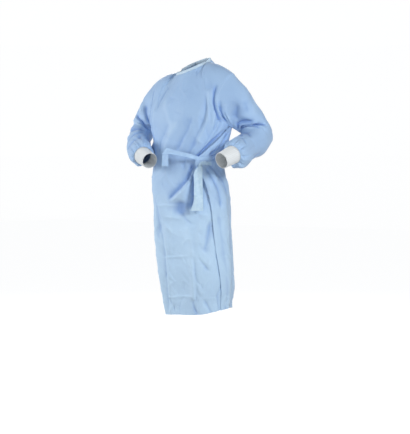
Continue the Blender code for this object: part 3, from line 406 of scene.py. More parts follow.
# Both back panels: 90 is the left side seam, 180 the middle, 270 the right side seam
BACK_CREASES = fold_table(
    (10, 14, -3.5, (118, -110), (130, -170), (146, -240), (152, -310)),
    (10, 12, 2.6, (108, -170), (116, -235), (130, -300)),
    (12, 10, -3.5, (246, -110), (232, -180), (218, -250), (212, -330)),
    (12, 10, 3, (256, -180), (244, -240), (230, -300), (224, -360)),
    (10, 12, -4, (266, -230), (252, -300), (244, -380)),
    (9, 14, 2.6, (196, -100), (192, -190), (194, -290), (190, -380)),
    (12, 9, -2.6, (172, -150), (176, -240), (174, -330)),
    (10, 16, -4.5, (262, -400), (244, -440), (224, -470), (206, -520)),
    (10, 14, 3.5, (264, -440), (248, -490), (232, -560), (224, -640)),
    (12, 14, -3.5, (190, -430), (178, -470), (162, -500)),
    (12, 14, -4, (150, -400), (140, -460), (134, -540)),
    (12, 14, 3, (112, -430), (118, -520), (122, -620)),
    (4.4, 6, 1.6, (180, -520), (181, -700), (183, -900), (186, -1118)),
    (9, 15, -3.4, (222, -560), (224, -740), (226, -930), (226, -1118)),
    (14, 10, -3.4, (150, -560), (148, -740), (149, -930), (148, -1112)),
    (10, 12, -3.2, (256, -560), (257, -700), (259, -850)),
    (11, 14, -2.8, (112, -640), (110, -800), (112, -960), (110, -1100)),
    (4.4, 5, 1.4, (258, -627), (236, -625), (212, -622), (190, -624)),
    (5, 4.4, 1.3, (176, -626), (154, -624), (130, -628)),
    (4.4, 5, 1.5, (252, -852), (228, -850), (204, -848), (186, -850)),
    (5, 4.4, 1.3, (170, -846), (146, -850), (120, -853)),
    (4.4, 5, 1.4, (260, -1036), (236, -1034), (210, -1031), (186, -1034)),
    (5, 4.4, 1.2, (176, -1032), (150, -1035), (122, -1038)),
    (8, 10, -3.2, (200, -1050), (204, -1118)),
    (8, 10, -3.2, (236, -1040), (240, -1120)),
    (8, 10, -3, (160, -1040), (158, -1110)),
    (8, 10, -2.8, (128, -1040), (126, -1100)),
)

# The wrap's left part: pulls from the armpit and the side towards the tie, and its hanging edge
FLAP_CREASES = fold_table(
    (36, 50, 3, (112, -345), (90, -385), (66, -418)),
    (6, 9, -8.5, (98, -296), (86, -338), (72, -378), (60, -408)),
    (7, 12, -9, (104, -330), (92, -368), (78, -398), (62, -420)),
    (6, 6, 2.8, (92, -314), (78, -355), (66, -390)),
    (8, 12, -7.5, (112, -372), (96, -398), (80, -418), (66, -428)),
    (8, 10, 3, (116, -330), (104, -352), (92, -385)),
    (10, 14, -5, (56, -450), (66, -505), (76, -575), (80, -640)),
    (12, 14, -4.5, (62, -440), (78, -475), (92, -520), (102, -590)),
    (8, 10, 2.6, (50, -440), (56, -500), (61, -580)),
    (10, 14, -2, (76, -640), (80, -760), (86, -900), (90, -1090)),
    (12, 14, 2.4, (98, -660), (98, -800), (100, -960)),
    (4.4, 5, 1.2, (70, -668), (86, -672), (104, -668)),
    (4.4, 5, 1.2, (76, -846), (92, -848), (110, -850)),
    (4.4, 5, 1.2, (80, -1024), (96, -1028), (114, -1032)),
    (7, 9, -1.8, (88, -1030), (86, -1088)),
)

# Sleeves: paths in degrees round the sleeve and thousandths of its length
SLEEVE_BACK_CREASES = fold_table(
    (12, 14, -3.6, (350, 330), (322, 360), (296, 350)),
    (12, 14, 3.2, (340, 460), (310, 440), (284, 400)),
    (12, 16, -3.6, (270, 120), (282, 200), (290, 290)),
    (12, 16, 3.2, (224, 100), (236, 190), (246, 280)),
    (12, 14, -3.6, (306, 540), (300, 640), (310, 740)),
    (12, 14, -3.6, (250, 500), (236, 600), (230, 700)),
)
LEFT_CREASES = fold_table(
    (8, 12, -6.5, (150, 340), (110, 295), (70, 264), (34, 272)),
    (7, 11, -7, (145, 390), (105, 355), (70, 338), (36, 360), (0, 398)),
    (8, 8, 3.5, (138, 365), (100, 325), (64, 300)),
    (8, 10, -5, (136, 430), (98, 415), (60, 430), (30, 470)),
    (8, 12, 3.4, (132, 470), (95, 480), (58, 520)),
    (9, 12, -4.2, (130, 530), (96, 555), (56, 610), (30, 660)),
    (10, 12, -3.6, (118, 600), (88, 650), (60, 720)),
    (9, 11, -3.4, (76, 720), (44, 765), (12, 800)),
    (10, 14, -4, (46, 85), (66, 130), (86, 200), (96, 265)),
    (12, 14, -2.4, (20, 100), (34, 160), (44, 230)),
    (8, 12, -6.5, (84, 30), (104, 38), (130, 55), (158, 60)),
    (10, 12, 3, (110, 110), (118, 170), (126, 230)),
) + SLEEVE_BACK_CREASES
RIGHT_CREASES = fold_table(
    (8, 12, -6.5, (20, 262), (50, 302), (84, 370), (112, 420), (148, 440)),
    (8, 9, 3.4, (-8, 330), (30, 360), (70, 420), (106, 466)),
    (7.5, 11, -6.2, (4, 470), (40, 486), (84, 506), (120, 500)),
    (8, 9, 3, (-14, 560), (26, 548), (66, 552)),
    (9, 11, -4.8, (0, 640), (34, 620), (78, 590), (116, 560)),
    (9, 11, -5, (-20, 700), (14, 730), (44, 742), (74, 742)),
    (9, 11, -3.6, (96, 620), (84, 700), (80, 790)),
    (9, 13, -6, (60, 90), (82, 170), (104, 240), (132, 310)),
    (10, 12, 3, (36, 110), (56, 180), (72, 260)),
    (10, 14, -3, (20, 160), (34, 210), (44, 270)),
    (8, 12, -5.5, (78, 28), (102, 40), (130, 60)),
) + SLEEVE_BACK_CREASES

# Where creases fade: at the sleeves' ends, the side seams, the top edges, under the wrap and on it
SLEEVE_CREASE_FADE = (0.012, 0.95)
SIDE_CREASE_FADE = 4.0
TOP_CREASE_FADE = 0.08
UNDER_FLAP_FADE = 6.0
WRAP_CREASE_FADE = 0.05
# Hollow of the front panel along the wrap's edge: depth, width in degrees and heights
EDGE_DIP = 0.0120
EDGE_DIP_WIDTH = 3.6
EDGE_DIP_SPAN = (-0.435, -0.400, -0.330, -0.285)
# How near to the panels under it a crease may take the wrap
FLAP_ROOM = 0.0022

# Wrist pleats beyond the solids' nine: how many, how high and how far turned, so that they look uneven
PLEATS = ((27, 0.0011, 40), (17, 0.0013, 200), (38, 0.0006, 95))
# Faint unevenness of all the cloth: waves a metre across and up, height and phase
WAVES = ((7.1, 2.3, 0.00045, 0.4), (-4.3, 6.7, 0.00050, 1.9), (11.7, -3.1, 0.00030, 3.3),
         (3.7, 12.9, 0.00030, 5.1), (-15.1, -8.3, 0.00018, 0.9), (19.3, 16.1, 0.00014, 2.7))

# Small crinkles: how many to a square metre, their directions, half lengths, half widths and heights
CRINKLE_SEED = 11
CRINKLES_PER_AREA = 420
CRINKLE_TURNS = (0.6, 2.7)
CRINKLE_REACHES = (0.015, 0.060)
CRINKLE_WIDTHS = (0.0036, 0.0070)
CRINKLE_HEIGHTS = (0.0010, 0.0030)
CRINKLE_BEND = 0.25
CRINKLE_BOUNDS = (2.5, 3.5)

# Knit cuffs: fine ribs, rows of loops, and a thicker welt at the open end
SLEEVE_ROUND = 0.07
SLEEVE_LENGTH = 0.45
CUFF_RIBS = 30
CUFF_TURNS = 300
CUFF_STEPS = 72
KNIT_LOOP_LENGTH = 0.0033
KNIT_LOOP_HEIGHT = 0.00012
CUFF_WELT = 0.0005
CUFF_WELT_LENGTH = 0.012
CUFF_WELT_RISE = 0.003

# Binding, tab and ties
BINDING_STEPS = 260
BINDING_ROWS = 8
BINDING_SMOOTHING = 90
BINDING_PUFF = 0.0007
BINDING_RIPPLE = 0.00025
BINDING_RIPPLE_LENGTH = 0.013
FLAP_COLUMNS = 16
YOKE_ROWS = 9
WRAP_HEM = -1.09
TAB_STEPS = 12
TAB_PUFF = 0.0004
TAB_SQUARENESS = 8
TIE_STEP = 0.003
TIE_COLUMNS = 13
TIE_FREE_LENGTH = 0.03
TIE_EDGE = 0.0004
TIE_EDGE_SHARPNESS = 6
FLAP_TIE_CRUMPLE = 0.0006
WAIST_TIE_CRUMPLE = 0.0016
TIE_CRUMPLE_TURNS = 62.0
TIE_CRUMPLE_LEAN = 2.1
TIE_TWIST_TURNS = 23.0
TIE_TWIST_LEAN = 3.3
TIE_TWIST_SHARE = 0.8
TIE_CRUMPLE_SINK = 0.4

# Stitches
STITCH_LENGTH = 0.0026
STITCH_PITCH = 0.0040
STITCH_HALF_WIDTH = 0.00035
STITCH_HEIGHT = 0.00030
STITCH_SIDES = 6
STITCH_SHARES = (-1.0, -0.7, 0.7, 1.0)
STITCH_SWELL = (0.25, 1.0, 1.0, 0.25)

# Colours, linear
GOWN_BLUE = (0.318, 0.482, 0.735)
# pale tone of the faint clouds, and of the painted light towards the hem
GOWN_CLOUD_AND_HEM_LIGHT = (0.490, 0.680, 0.880)
# colour of the loose fibres, and of the crease whitening with a painted highlight on ridges
GOWN_FIBRE_AND_HIGHLIGHT = (0.600, 0.780, 0.940)
# painted shade in the troughs
GOWN_PAINTED_SHADE = (0.190, 0.330, 0.640)
TRIM_BLUE = (0.520, 0.680, 0.820)
TRIM_PALE = (0.590, 0.730, 0.850)
TAPE_BLUE = (0.370, 0.560, 0.830)
TAPE_PALE = (0.450, 0.640, 0.880)
TAIL_BLUE = (0.450, 0.640, 0.820)
TAIL_PALE = (0.590, 0.760, 0.900)
KNIT_PALE = (0.800, 0.830, 0.840)
# painted shade in the knit's furrows and between its rows of loops
KNIT_PAINTED_SHADE = (0.560, 0.610, 0.650)
THREAD_BLUE = (0.520, 0.690, 0.880)
FLOOR_COLOUR = (0.16, 0.16, 0.16)
BACKDROP_COLOUR = (0.97, 0.975, 0.98)
FLOOR_GLOW = 0.95

# Heights between which the cloth turns paler towards the hem, as painted light
HEM_LIGHT_FROM = -0.42
HEM_LIGHT_TO = -0.70

# Finishes: pitches of their patterns, how high ridges turn paler (crease whitening with a painted highlight)
# and how far down troughs turn darker (painted shade), and colour shares
WELD_PITCH = 0.0017
TAPE_PITCH = 0.0016
KNIT_WALE = 0.0019
KNIT_LEAN = 1.6
RIDGE_WHITENING_AND_HIGHLIGHT = (0.0010, 0.0060)
TROUGH_SHADE_SPAN = (-0.0010, -0.0100)
RIDGE_WHITENING_AND_HIGHLIGHT_SHARE = 0.30
TROUGH_SHADE_SHARE = 0.85
CLOUD_SHARE = 0.25
HEM_LIGHT_SHARE = 0.75
FIBRE_SHARE = 0.10
DOT_SHARE = 0.12
FURROW_SHADE_SHARE = 0.8
LOOP_SHADE_SHARE = 0.35
TWIST_SHARE = 0.3
# Stretch of the finishes' noise across and along the cloth
FIBRES = (900.0, 260.0, 1.0)
THREADS = (240.0, 1100.0, 1.0)
FINE_CRINKLES = (30.0, 17.0, 1.0)
KNIT_FUZZ = (1500.0, 1500.0, 1.0)
# Shine of the finishes: roughness, sheen, the sheen's roughness, and specular level
CLOTH_SHINE = (0.62, 0.18, 0.45, 0.28)
TAPE_SHINE = (0.68, 0.2, 0.4, 0.25)
KNIT_SHINE = (0.85, 0.35, 0.5, 0.2)
THREAD_SHINE = (0.5, 0.15, 0.4, 0.35)

# Camera of the photo, and the stage
VIEW_AZIMUTH = 35.0
VIEW_DOWN = 2.27
CAMERA_DISTANCE = 4.5
CAMERA_ASIDE = 0.054
CAMERA_HEIGHT = -0.5
FOCAL_PIXELS = 1003
FRAME_PIXELS = 434
SENSOR = 36
FLOOR_HEIGHT = -1.50
FLOOR_HALF = 14.0
BACKDROP_RADIUS = 20.0
WORLD_COLOUR = (0.95, 0.97, 1.0, 1)
WORLD_STRENGTH = 0.36
MIDDLE = (0.0, 0.0, -0.55)
# Lights: name, place, what it is aimed at, size and power
LIGHTS = (
    ("key", (3.4, -1.2, 0.6), MIDDLE, 0.7, 70),
    ("fill", (-2.7, -1.7, 0.2), MIDDLE, 1.4, 66),
    ("low", (1.4, -2.6, -1.3), (0.0, 0.0, -0.95), 1.2, 24),
    ("behind", (-2.0, 2.6, 0.9), MIDDLE, 1.6, 62),
)


def smooth_step(t):
    """0 below 0, 1 above 1, and smooth between."""
    t = np.clip(t, 0.0, 1.0)
    return t * t * (3 - 2 * t)


def smooth_curve(x, knots, values):
    """The value at x of a smooth curve through rows of values at rising knots."""
    knots = np.asarray(knots, dtype=float)
    values = np.asarray(values, dtype=float)
    slopes = np.gradient(values, knots, axis=0)
    x = np.clip(np.asarray(x, dtype=float), knots[0], knots[-1])
    left = np.clip(np.searchsorted(knots, x) - 1, 0, len(knots) - 2)
    span = knots[left + 1] - knots[left]
    t = (x - knots[left]) / span
    if values.ndim > 1:
        span = span[..., None]
        t = t[..., None]
    start = (1 + 2 * t) * (1 - t) ** 2 * values[left]
    leave = t * (1 - t) ** 2 * span * slopes[left]
    end = t * t * (3 - 2 * t) * values[left + 1]
    arrive = t * t * (t - 1) * span * slopes[left + 1]
    return start + leave + end + arrive


def unit(vectors):
    """The same vectors, one long."""
    vectors = np.asarray(vectors, dtype=float)
    return vectors / np.linalg.norm(vectors, axis=-1, keepdims=True)


def table_curve(x, table):
    """A smooth curve through a table whose first column holds the knots."""
    rows = np.array(table, dtype=float)
    return smooth_curve(x, rows[:, 0], rows[:, 1:])


def rounded(t, squareness):
    """A sine or cosine made squarer."""
    return np.sign(t) * np.abs(t) ** (2 / squareness)


def ring_point(angle, height):
    """A point of the level ring at a height."""
    ring = table_curve(height, RINGS)
    across = np.sin(np.radians(angle))
    ahead = np.cos(np.radians(angle))
    depth = np.where(ahead > 0, ring[..., 1], ring[..., 2])
    x = ring[..., 3] + ring[..., 0] * rounded(across, ring[..., 5])
    y = ring[..., 4] - depth * rounded(ahead, ring[..., 5])
    return np.stack([x, y, np.broadcast_to(height, x.shape)], axis=-1)


def hem_height(angle):
    """Height of the hem round the body."""
    return table_curve(np.asarray(angle, dtype=float) % 360, HEM)[..., 0]


def neck_point(turn):
    """A point of the neck opening; turn is in degrees from the front of the neck."""
    across = np.sin(np.radians(turn))
    ahead = np.cos(np.radians(turn))
    offsets = []
    for front, side, back in zip(NECK_FRONT, NECK_SIDE, NECK_BACK):
        slant = (front - back) / 2
        bow = (front + back) / 2 - side
        offsets.append(side + slant * ahead + bow * ahead ** 2)
    return np.stack([NECK_HALF_WIDTH * across, offsets[0], offsets[1]], axis=-1)


def mirrored(side):
    """The factors that take a point of the left side to its own side."""
    return np.stack([side, np.ones_like(side), np.ones_like(side)], axis=-1)


def shoulder_tip(side):
    """The shoulder tip before mirroring; the left shoulder is the higher one."""
    return np.array(SHOULDER_TIP) + np.asarray(side)[..., None] * np.array([0, 0, SHOULDER_TILT])


def underarm_tip(side):
    """The lowest point of the armhole before mirroring, on the level ring at the underarm."""
    side = np.asarray(side, dtype=float)
    return ring_point(90 * side, np.full(side.shape, UNDERARM)) * mirrored(side)


def armhole_point(side, turn, back):
    """A point of the armhole; turn runs from 0 at the shoulder tip to 180 at the underarm."""
    side = np.broadcast_to(np.asarray(side, dtype=float), np.shape(turn))
    tip = shoulder_tip(side)
    under = underarm_tip(side)
    along = np.cos(np.radians(turn))[..., None]
    across = np.sin(np.radians(turn))
    half = np.sin(np.radians(turn) / 2) ** 2
    across = across * (1 - half + half * across)
    reach = ARMHOLE_BACK if back else -ARMHOLE_FRONT
    point = (tip + under) / 2 + along * (tip - under) / 2
    point = point + np.stack([-ARMHOLE_HOLLOW * across ** 2, reach * across, 0 * across], axis=-1)
    return point * mirrored(side)


def armhole_turn(t):
    """The armhole angle at a share t of the way up its edge."""
    return 180 * (1 - np.clip(t, 0, 1) ** ARMHOLE_EVENNESS)


def top_point(from_middle, side, back):
    """A point of the neck edge or, past it, of the shoulder seam."""
    share = np.clip(from_middle / NECK_ANGLE, 0, 1) * 90
    turn = 180 - share if back else share
    tilt = side[..., None] * np.array([0, 0, NECK_TILT])
    neck = neck_point(turn) + tilt * np.sin(np.radians(turn))[..., None]
    out = np.clip((from_middle - NECK_ANGLE) / (90 - NECK_ANGLE), 0, 1)[..., None]
    corner = neck_point(np.array(90.0)) + tilt
    bow = SHOULDER_BOW * np.sin(np.pi * out) * np.array([0, 0, 1])
    seam = corner + out * (shoulder_tip(side) - corner) + bow
    point = np.where(out > 0, seam, neck)
    return point * mirrored(side)


def hermite(t, start, leave, end, arrive):
    """A cubic from start to end with the given directions at its ends."""
    t = t[..., None]
    first = (1 + 2 * t) * (1 - t) ** 2 * start + t * (1 - t) ** 2 * leave
    return first + t * t * (3 - 2 * t) * end + t * t * (t - 1) * arrive


def yoke_column(from_middle, side, t, back):
    """The plain curve of one column from the underarm ring to the neck or shoulder."""
    angle = side * from_middle
    angle = 180 - angle if back else angle
    flow = table_curve(from_middle, BACK_FLOW if back else FRONT_FLOW)
    mirror = mirrored(side)
    low = ring_point(angle, np.full_like(from_middle, UNDERARM))
    return hermite(t, low, flow[..., :3] * mirror, top_point(from_middle, side, back),
                   flow[..., 3:] * mirror)


def yoke_point(angle, t, back):
    """A point of the chest or back above the underarm, at a share t of the way up."""
    centred = 180 - np.asarray(angle, dtype=float) if back else np.asarray(angle, dtype=float)
    centred = np.clip(centred, -90, 90)
    side = np.where(centred < 0, -1.0, 1.0)
    from_middle = np.abs(centred)
    point = yoke_column(from_middle, side, t, back)
    last = yoke_column(np.full_like(from_middle, 90.0), side, t, back)
    edge = armhole_point(side, armhole_turn(t), back)
    weight = ((from_middle / 90) ** ARMHOLE_BLEND)[..., None]
    return point + weight * (edge - last)


def body_point(angle, rise, back=False):
    """A point of the bare form: rise is 0 at the hem, 1 at the underarm, 2 at the top edge."""
    angle, rise = np.broadcast_arrays(np.asarray(angle, dtype=float), np.asarray(rise, dtype=float))
    hem = hem_height(angle)
    low = ring_point(angle, hem + (UNDERARM - hem) * np.minimum(rise, 1))
    high = yoke_point(angle, np.maximum(rise - 1, 0), back)
    return np.where(rise[..., None] > 1, high, low)


def body_normal(angle, rise, back=False):
    """The outward direction of the bare form."""
    across = (body_point(angle + NORMAL_ANGLE_STEP, rise, back)
              - body_point(angle - NORMAL_ANGLE_STEP, rise, back))
    up = (body_point(angle, rise + NORMAL_RISE_STEP, back)
          - body_point(angle, rise - NORMAL_RISE_STEP, back))
    return unit(np.cross(across, up))


def cloth_height(angle, rise):
    """The height that folds and the flap's edge are placed by."""
    hem = hem_height(angle)
    low = hem + (UNDERARM - hem) * np.minimum(rise, 1)
    return np.where(rise > 1, UNDERARM * (2 - rise), low)


def fold_height(fold, spot, open_below, ends, crest):
    """How far one fold lifts the cloth at spots given in metres across and along the cloth."""
    path = np.array(fold.path, dtype=float)
    nearest = np.full(spot.shape[:-1], np.inf)
    offset = np.zeros_like(nearest)
    run = np.zeros_like(nearest)
    length = 0.0
    for start, end in zip(path[:-1], path[1:]):
        step = end - start
        size = math.hypot(*step)
        share = np.clip(((spot - start) @ step) / size ** 2, 0, 1)
        gap = spot - start - share[..., None] * step
        distance = np.hypot(gap[..., 0], gap[..., 1])
        closer = distance < nearest
        signed = np.sign(step[0] * gap[..., 1] - step[1] * gap[..., 0]) * distance
        offset = np.where(closer, signed, offset)
        run = np.where(closer, length + share * size, run)
        nearest = np.where(closer, distance, nearest)
        length += size
    width = np.where(offset > 0, fold.near, fold.far)
    taper = min(ends, length / 2)
    begin = smooth_step(run / taper)
    finish = np.where(spot[..., 1] < open_below, 1, smooth_step((length - run) / taper))
    return fold.height * np.exp(-(nearest / width) ** crest) * begin * finish


def relief(folds, across, along, scale=(CLOTH_PER_DEGREE, 1), open_below=HEM_FOLDS_OPEN,
           ends=FOLD_TAPER, crest=2.0):
    """All the folds of one table together."""
    across, along = np.broadcast_arrays(across, along)
    spot = np.stack([across * scale[0], along * scale[1]], axis=-1)
    total = np.zeros(across.shape)
    for fold in folds:
        path = tuple((x * scale[0], y * scale[1]) for x, y in fold.path)
        total = total + fold_height(fold._replace(path=path), spot, open_below, ends, crest)
    return total


def sharp_relief(folds, across, along, scale=(CLOTH_PER_DEGREE, 1), open_below=HEM_FOLDS_OPEN,
                 gain=BODY_CREASE_GAIN):
    """The creases of one table, crisper than the folds of the solids."""
    return gain * relief(folds, across, along, scale, open_below, CREASE_TAPER, CREASE_CREST)


def seam_fade(angle, rise, back):
    """1 inside the cloth, and 0 at the armholes, shoulder seams and neck, where edges must meet."""
    centred = 180 - angle if back else angle
    side = smooth_step((90 - np.abs(centred)) / FADE_ANGLE)
    top = smooth_step((2 - rise) / FADE_TOP)
    low = smooth_step((1 - rise) / FADE_LOW)
    return np.maximum(low, side * top)


def flap_angle(height):
    """Where round the body the flap's free edge lies at a height."""
    return table_curve(height, FLAP_EDGE)[..., 0]


def flap_lift(angle, height):
    """How far the flap stands off the form, with the tent that the pulled tie makes."""
    over = smooth_step((LIFT_START - angle) / (LIFT_START - LIFT_FULL)) * LIFT
    reach = np.where(height > TIE_HEIGHT, TENT_UP, TENT_DOWN)
    pull = np.exp(-((height - TIE_HEIGHT) / reach) ** 2)
    near_edge = 1 - smooth_step((angle - flap_angle(height)) / TENT_ANGLE)
    return over + TENT * pull * near_edge


def front_cloth(angle, rise):
    """Outer points and outward directions of the front panel."""
    height = cloth_height(angle, rise)
    normal = body_normal(angle, rise)
    lift = relief(BODY_FOLDS, angle, height) * seam_fade(angle, rise, False)
    return body_point(angle, rise) + lift[..., None] * normal, normal


def back_cloth(angle, rise, lifted):
    """Outer points and outward directions of a back panel; a lifted one lies over the others."""
    height = cloth_height(angle, rise)
    normal = body_normal(angle, rise, back=True)
    wrapped = np.where(angle > 180, angle - 360, angle)
    folds = relief(BODY_FOLDS, angle, height) + relief(BODY_FOLDS, wrapped, height) * (angle > 180)
    lift = folds * seam_fade(angle, rise, True)
    if lifted:
        lift = lift + flap_lift(angle, height) + relief(FLAP_FOLDS, angle, height)
    return body_point(angle, rise, back=True) + lift[..., None] * normal, normal


def arm_frames(arm):
    """Centre, outward, forward and lengthwise directions of each sleeve section."""
    centres = np.array([section[:3] for section in arm.sections])
    root = (shoulder_tip(arm.side) + underarm_tip(arm.side)) / 2 * np.array([arm.side, 1, 1])
    path = np.vstack([root, centres, centres[-1:] + centres[-1:] - centres[-2:-1]])
    along = unit(path[2:] - path[:-2])
    share = smooth_step(np.linspace(0, OUT_TURN, len(centres)))[:, None]
    out = np.array(arm.out_at_shoulder) * (1 - share) + np.array(arm.out_at_wrist) * share
    out = unit(out - np.sum(out * along, axis=1, keepdims=True) * along)
    ahead = arm.side * np.cross(along, out)
    return centres, out, ahead, along


def clear_of_body(points, margin):
    """Points moved out until they are a margin outside the body's ring at their height."""
    ring = table_curve(np.clip(points[..., 2], RINGS[0].height, UNDERARM), RINGS)
    x = points[..., 0] - ring[..., 3]
    y = points[..., 1] - ring[..., 4]
    depth = np.where(y < 0, ring[..., 1], ring[..., 2])
    power = ring[..., 5]
    size = ((np.abs(x) / ring[..., 0]) ** power + (np.abs(y) / depth) ** power) ** (1 / power)
    reach = np.hypot(x, y)
    wanted = 1 + margin / np.maximum(reach / size, MIN_REACH)
    push = np.maximum(wanted / size, 1)
    moved = points.copy()
    moved[..., 0] = ring[..., 3] + x * push
    moved[..., 1] = ring[..., 4] + y * push
    return moved


def sleeve_point(arm, turn, share):
    """A point of the bare sleeve: turn is 0 on the outside, 90 in front; share runs to the wrist."""
    turn, share = np.broadcast_arrays(np.asarray(turn, dtype=float), np.asarray(share, dtype=float))
    turn = turn % 360
    centres, out, ahead, _ = arm_frames(arm)
    across = np.cos(np.radians(turn))
    forward = np.sin(np.radians(turn))
    hole_turn = np.where(turn > 180, 360 - turn, turn)
    hole = np.where((turn > 180)[..., None], armhole_point(arm.side, hole_turn, True),
                    armhole_point(arm.side, hole_turn, False))
    stations = [hole]
    for index, section in enumerate(arm.sections):
        width = np.where(across > 0, section.outer, section.inner)
        depth = np.where(forward > 0, section.front, section.back)
        point = centres[index] + (width * across)[..., None] * out[index]
        stations.append(point + (depth * forward)[..., None] * ahead[index])
    inner = smooth_step((1 - across) / 2)[..., None]
    elbow = stations[UPPER_SECTIONS + 1]
    for index in range(1, UPPER_SECTIONS + 1):
        direct = hole + index / (UPPER_SECTIONS + 1) * (elbow - hole)
        stations[index] = stations[index] + inner * (direct - stations[index])
    for index in range(1, len(stations) - WRIST_SECTIONS):
        stations[index] = clear_of_body(stations[index], arm.clearance)
    stations = np.stack(stations)
    slopes = np.gradient(stations, axis=0)
    place = np.clip(share, 0, 1) * (len(stations) - 1)
    left = np.clip(place.astype(int), 0, len(stations) - 2)
    t = place - left
    pick = np.indices(left.shape)
    return hermite(t, stations[(left, *pick)], slopes[(left, *pick)],
                   stations[(left + 1, *pick)], slopes[(left + 1, *pick)])


def sleeve_normal(arm, turn, share):
    """The outward direction of the bare sleeve."""
    across = (sleeve_point(arm, turn + NORMAL_TURN_STEP, share)
              - sleeve_point(arm, turn - NORMAL_TURN_STEP, share))
    along = (sleeve_point(arm, turn, share + NORMAL_SHARE_STEP)
             - sleeve_point(arm, turn, share - NORMAL_SHARE_STEP))
    return unit(np.cross(across, along)) * arm.side


def shoulder_normal(from_middle, side):
    """The direction of the shoulder seam's edge faces, shared by front and back."""
    rise = np.full(np.shape(from_middle), 2.0 - NORMAL_RISE_STEP)
    front = body_normal(side * from_middle, rise)
    back = body_normal(180 - side * from_middle, rise, back=True)
    return unit(front + back)


def armhole_normal(arm, t, back):
    """The direction of the armhole seam's edge faces, shared by panel and sleeve."""
    turn = armhole_turn(t)
    sleeve_turn = 360 - turn if back else turn
    angle = 90 if arm.side > 0 else 270 if back else -90
    panel = body_normal(np.full_like(t, angle), 1 + t, back)
    panel = np.where(t[..., None] > 1 - HOLE_SHARE, shoulder_normal(np.full_like(t, 90), arm.side), panel)
    sleeve = sleeve_normal(arm, sleeve_turn, np.full_like(t, HOLE_SHARE))
    return unit(panel + sleeve)


def body_rows():
    """The rises of the rows that all panels share."""
    skirt = np.linspace(0, 1, SKIRT_STEPS + 1)
    yoke = 1 + np.linspace(0, 1, YOKE_STEPS + 1)[1:]
    yoke[-1] -= SEAM / 2 / YOKE_LENGTH
    return np.concatenate([skirt, yoke])


def waves(across, along):
    """Faint unevenness of cloth, at places given in metres, with its many small crinkles."""
    across, along = np.broadcast_arrays(across, along)
    total = np.zeros(across.shape)
    for wide, high, size, phase in WAVES:
        total = total + size * np.sin(2 * math.pi * (wide * across + high * along) + phase)
    low = np.array([across.min(), along.min()])
    high = np.array([across.max(), along.max()])
    draw = np.random.default_rng(CRINKLE_SEED)
    spot = np.stack([across, along], axis=-1)
    for _ in range(int(CRINKLES_PER_AREA * np.prod(high - low))):
        middle = draw.uniform(low, high)
        turn = draw.uniform(*CRINKLE_TURNS)
        reach = draw.uniform(*CRINKLE_REACHES)
        width = draw.uniform(*CRINKLE_WIDTHS)
        size = draw.uniform(*CRINKLE_HEIGHTS) * draw.choice((-1, 1))
        gap = spot - middle
        run = gap[..., 0] * math.cos(turn) + gap[..., 1] * math.sin(turn)
        aside = gap[..., 1] * math.cos(turn) - gap[..., 0] * math.sin(turn)
        aside = aside + CRINKLE_BEND * run ** 2 / reach
        near = (np.abs(run) < CRINKLE_BOUNDS[0] * reach) & (np.abs(aside) < CRINKLE_BOUNDS[1] * width)
        bump = size * np.exp(-(run[near] / reach) ** 2 - (np.abs(aside[near]) / width) ** CREASE_CREST)
        total[near] += bump
    return total


def crease_fade(angle, rise, back):
    """1 inside a panel, and 0 at its seams with the other pieces."""
    centred = 180 - angle if back else angle
    side = smooth_step((90 - np.abs(centred)) / SIDE_CREASE_FADE)
    return side * smooth_step((2 - rise) / TOP_CREASE_FADE)


def bare_of_flap(angle, height):
    """1 where the wrap leaves a panel in view, and 0 where it covers it."""
    return smooth_step((flap_angle(height) - angle) / UNDER_FLAP_FADE + 1)


def edge_dip(angle, height):
    """The hollow in which the wrap's edge lies, from the armpit to the tie."""
    low, full, fading, top = EDGE_DIP_SPAN
    span = smooth_step((height - low) / (full - low)) * smooth_step((top - height) / (top - fading))
    return -EDGE_DIP * span * np.exp(-((angle - flap_angle(height)) / EDGE_DIP_WIDTH) ** 2)


def side_seam_gap(angles, rises, column, inward):
    """Angles with one side column moved in by half a seam, below the armhole."""
    angles[rises <= 1, column] += inward * SEAM / 2 / CLOTH_PER_DEGREE


def seam_normals(normals, angles, rises, arm, column, back):
    """Directions with those along the shoulder seam and one armhole shared with the next piece."""
    centred = 180 - angles[-1] if back else angles[-1]
    on_seam = np.abs(centred) >= NECK_ANGLE
    side = np.where(centred > 0, 1.0, -1.0)
    shared = normals.copy()
    shared[-1, on_seam] = shoulder_normal(np.abs(centred), side)[on_seam]
    high = rises > 1
    shared[high, column] = armhole_normal(arm, rises[high] - 1, back)
    return shared


Cloth = namedtuple("Cloth", "outer normals places creases")


def panel_sheet(rises, first, last, back, table, seams):
    """A panel that the wrap partly covers, with its creases; seams are its sleeves and their columns."""
    angles = np.tile(np.arange(first, last + DEGREES_A_COLUMN / 2, DEGREES_A_COLUMN), (len(rises), 1))
    for _, column in seams:
        side_seam_gap(angles, rises, column, -1 if column else 1)
    rise = np.tile(rises[:, None], angles.shape[1])
    outer, normals = back_cloth(angles, rise, False) if back else front_cloth(angles, rise)
    height = cloth_height(angles, rise)
    across = angles * CLOTH_PER_DEGREE
    lift = sharp_relief(table, angles, height) + waves(across, height)
    lift = lift * bare_of_flap(angles, height) * crease_fade(angles, rise, back)
    if not back:
        # the hollow is also carried in the crease attribute, where the finish paints it darker as painted
        # shade
        lift = lift + edge_dip(angles, height)
    outer = outer + lift[..., None] * normals
    for arm, column in seams:
        normals = seam_normals(normals, angles, rises, arm, column, back)
    return Cloth(outer, normals, np.stack([across, height], axis=-1), lift)


def flap_edge_angles(rises):
    """Where round the body the wrap's free edge lies on each row."""
    edge = np.full(len(rises), UNDER_END)
    for _ in range(EDGE_PASSES):
        edge = flap_angle(cloth_height(edge, rises))
    return edge


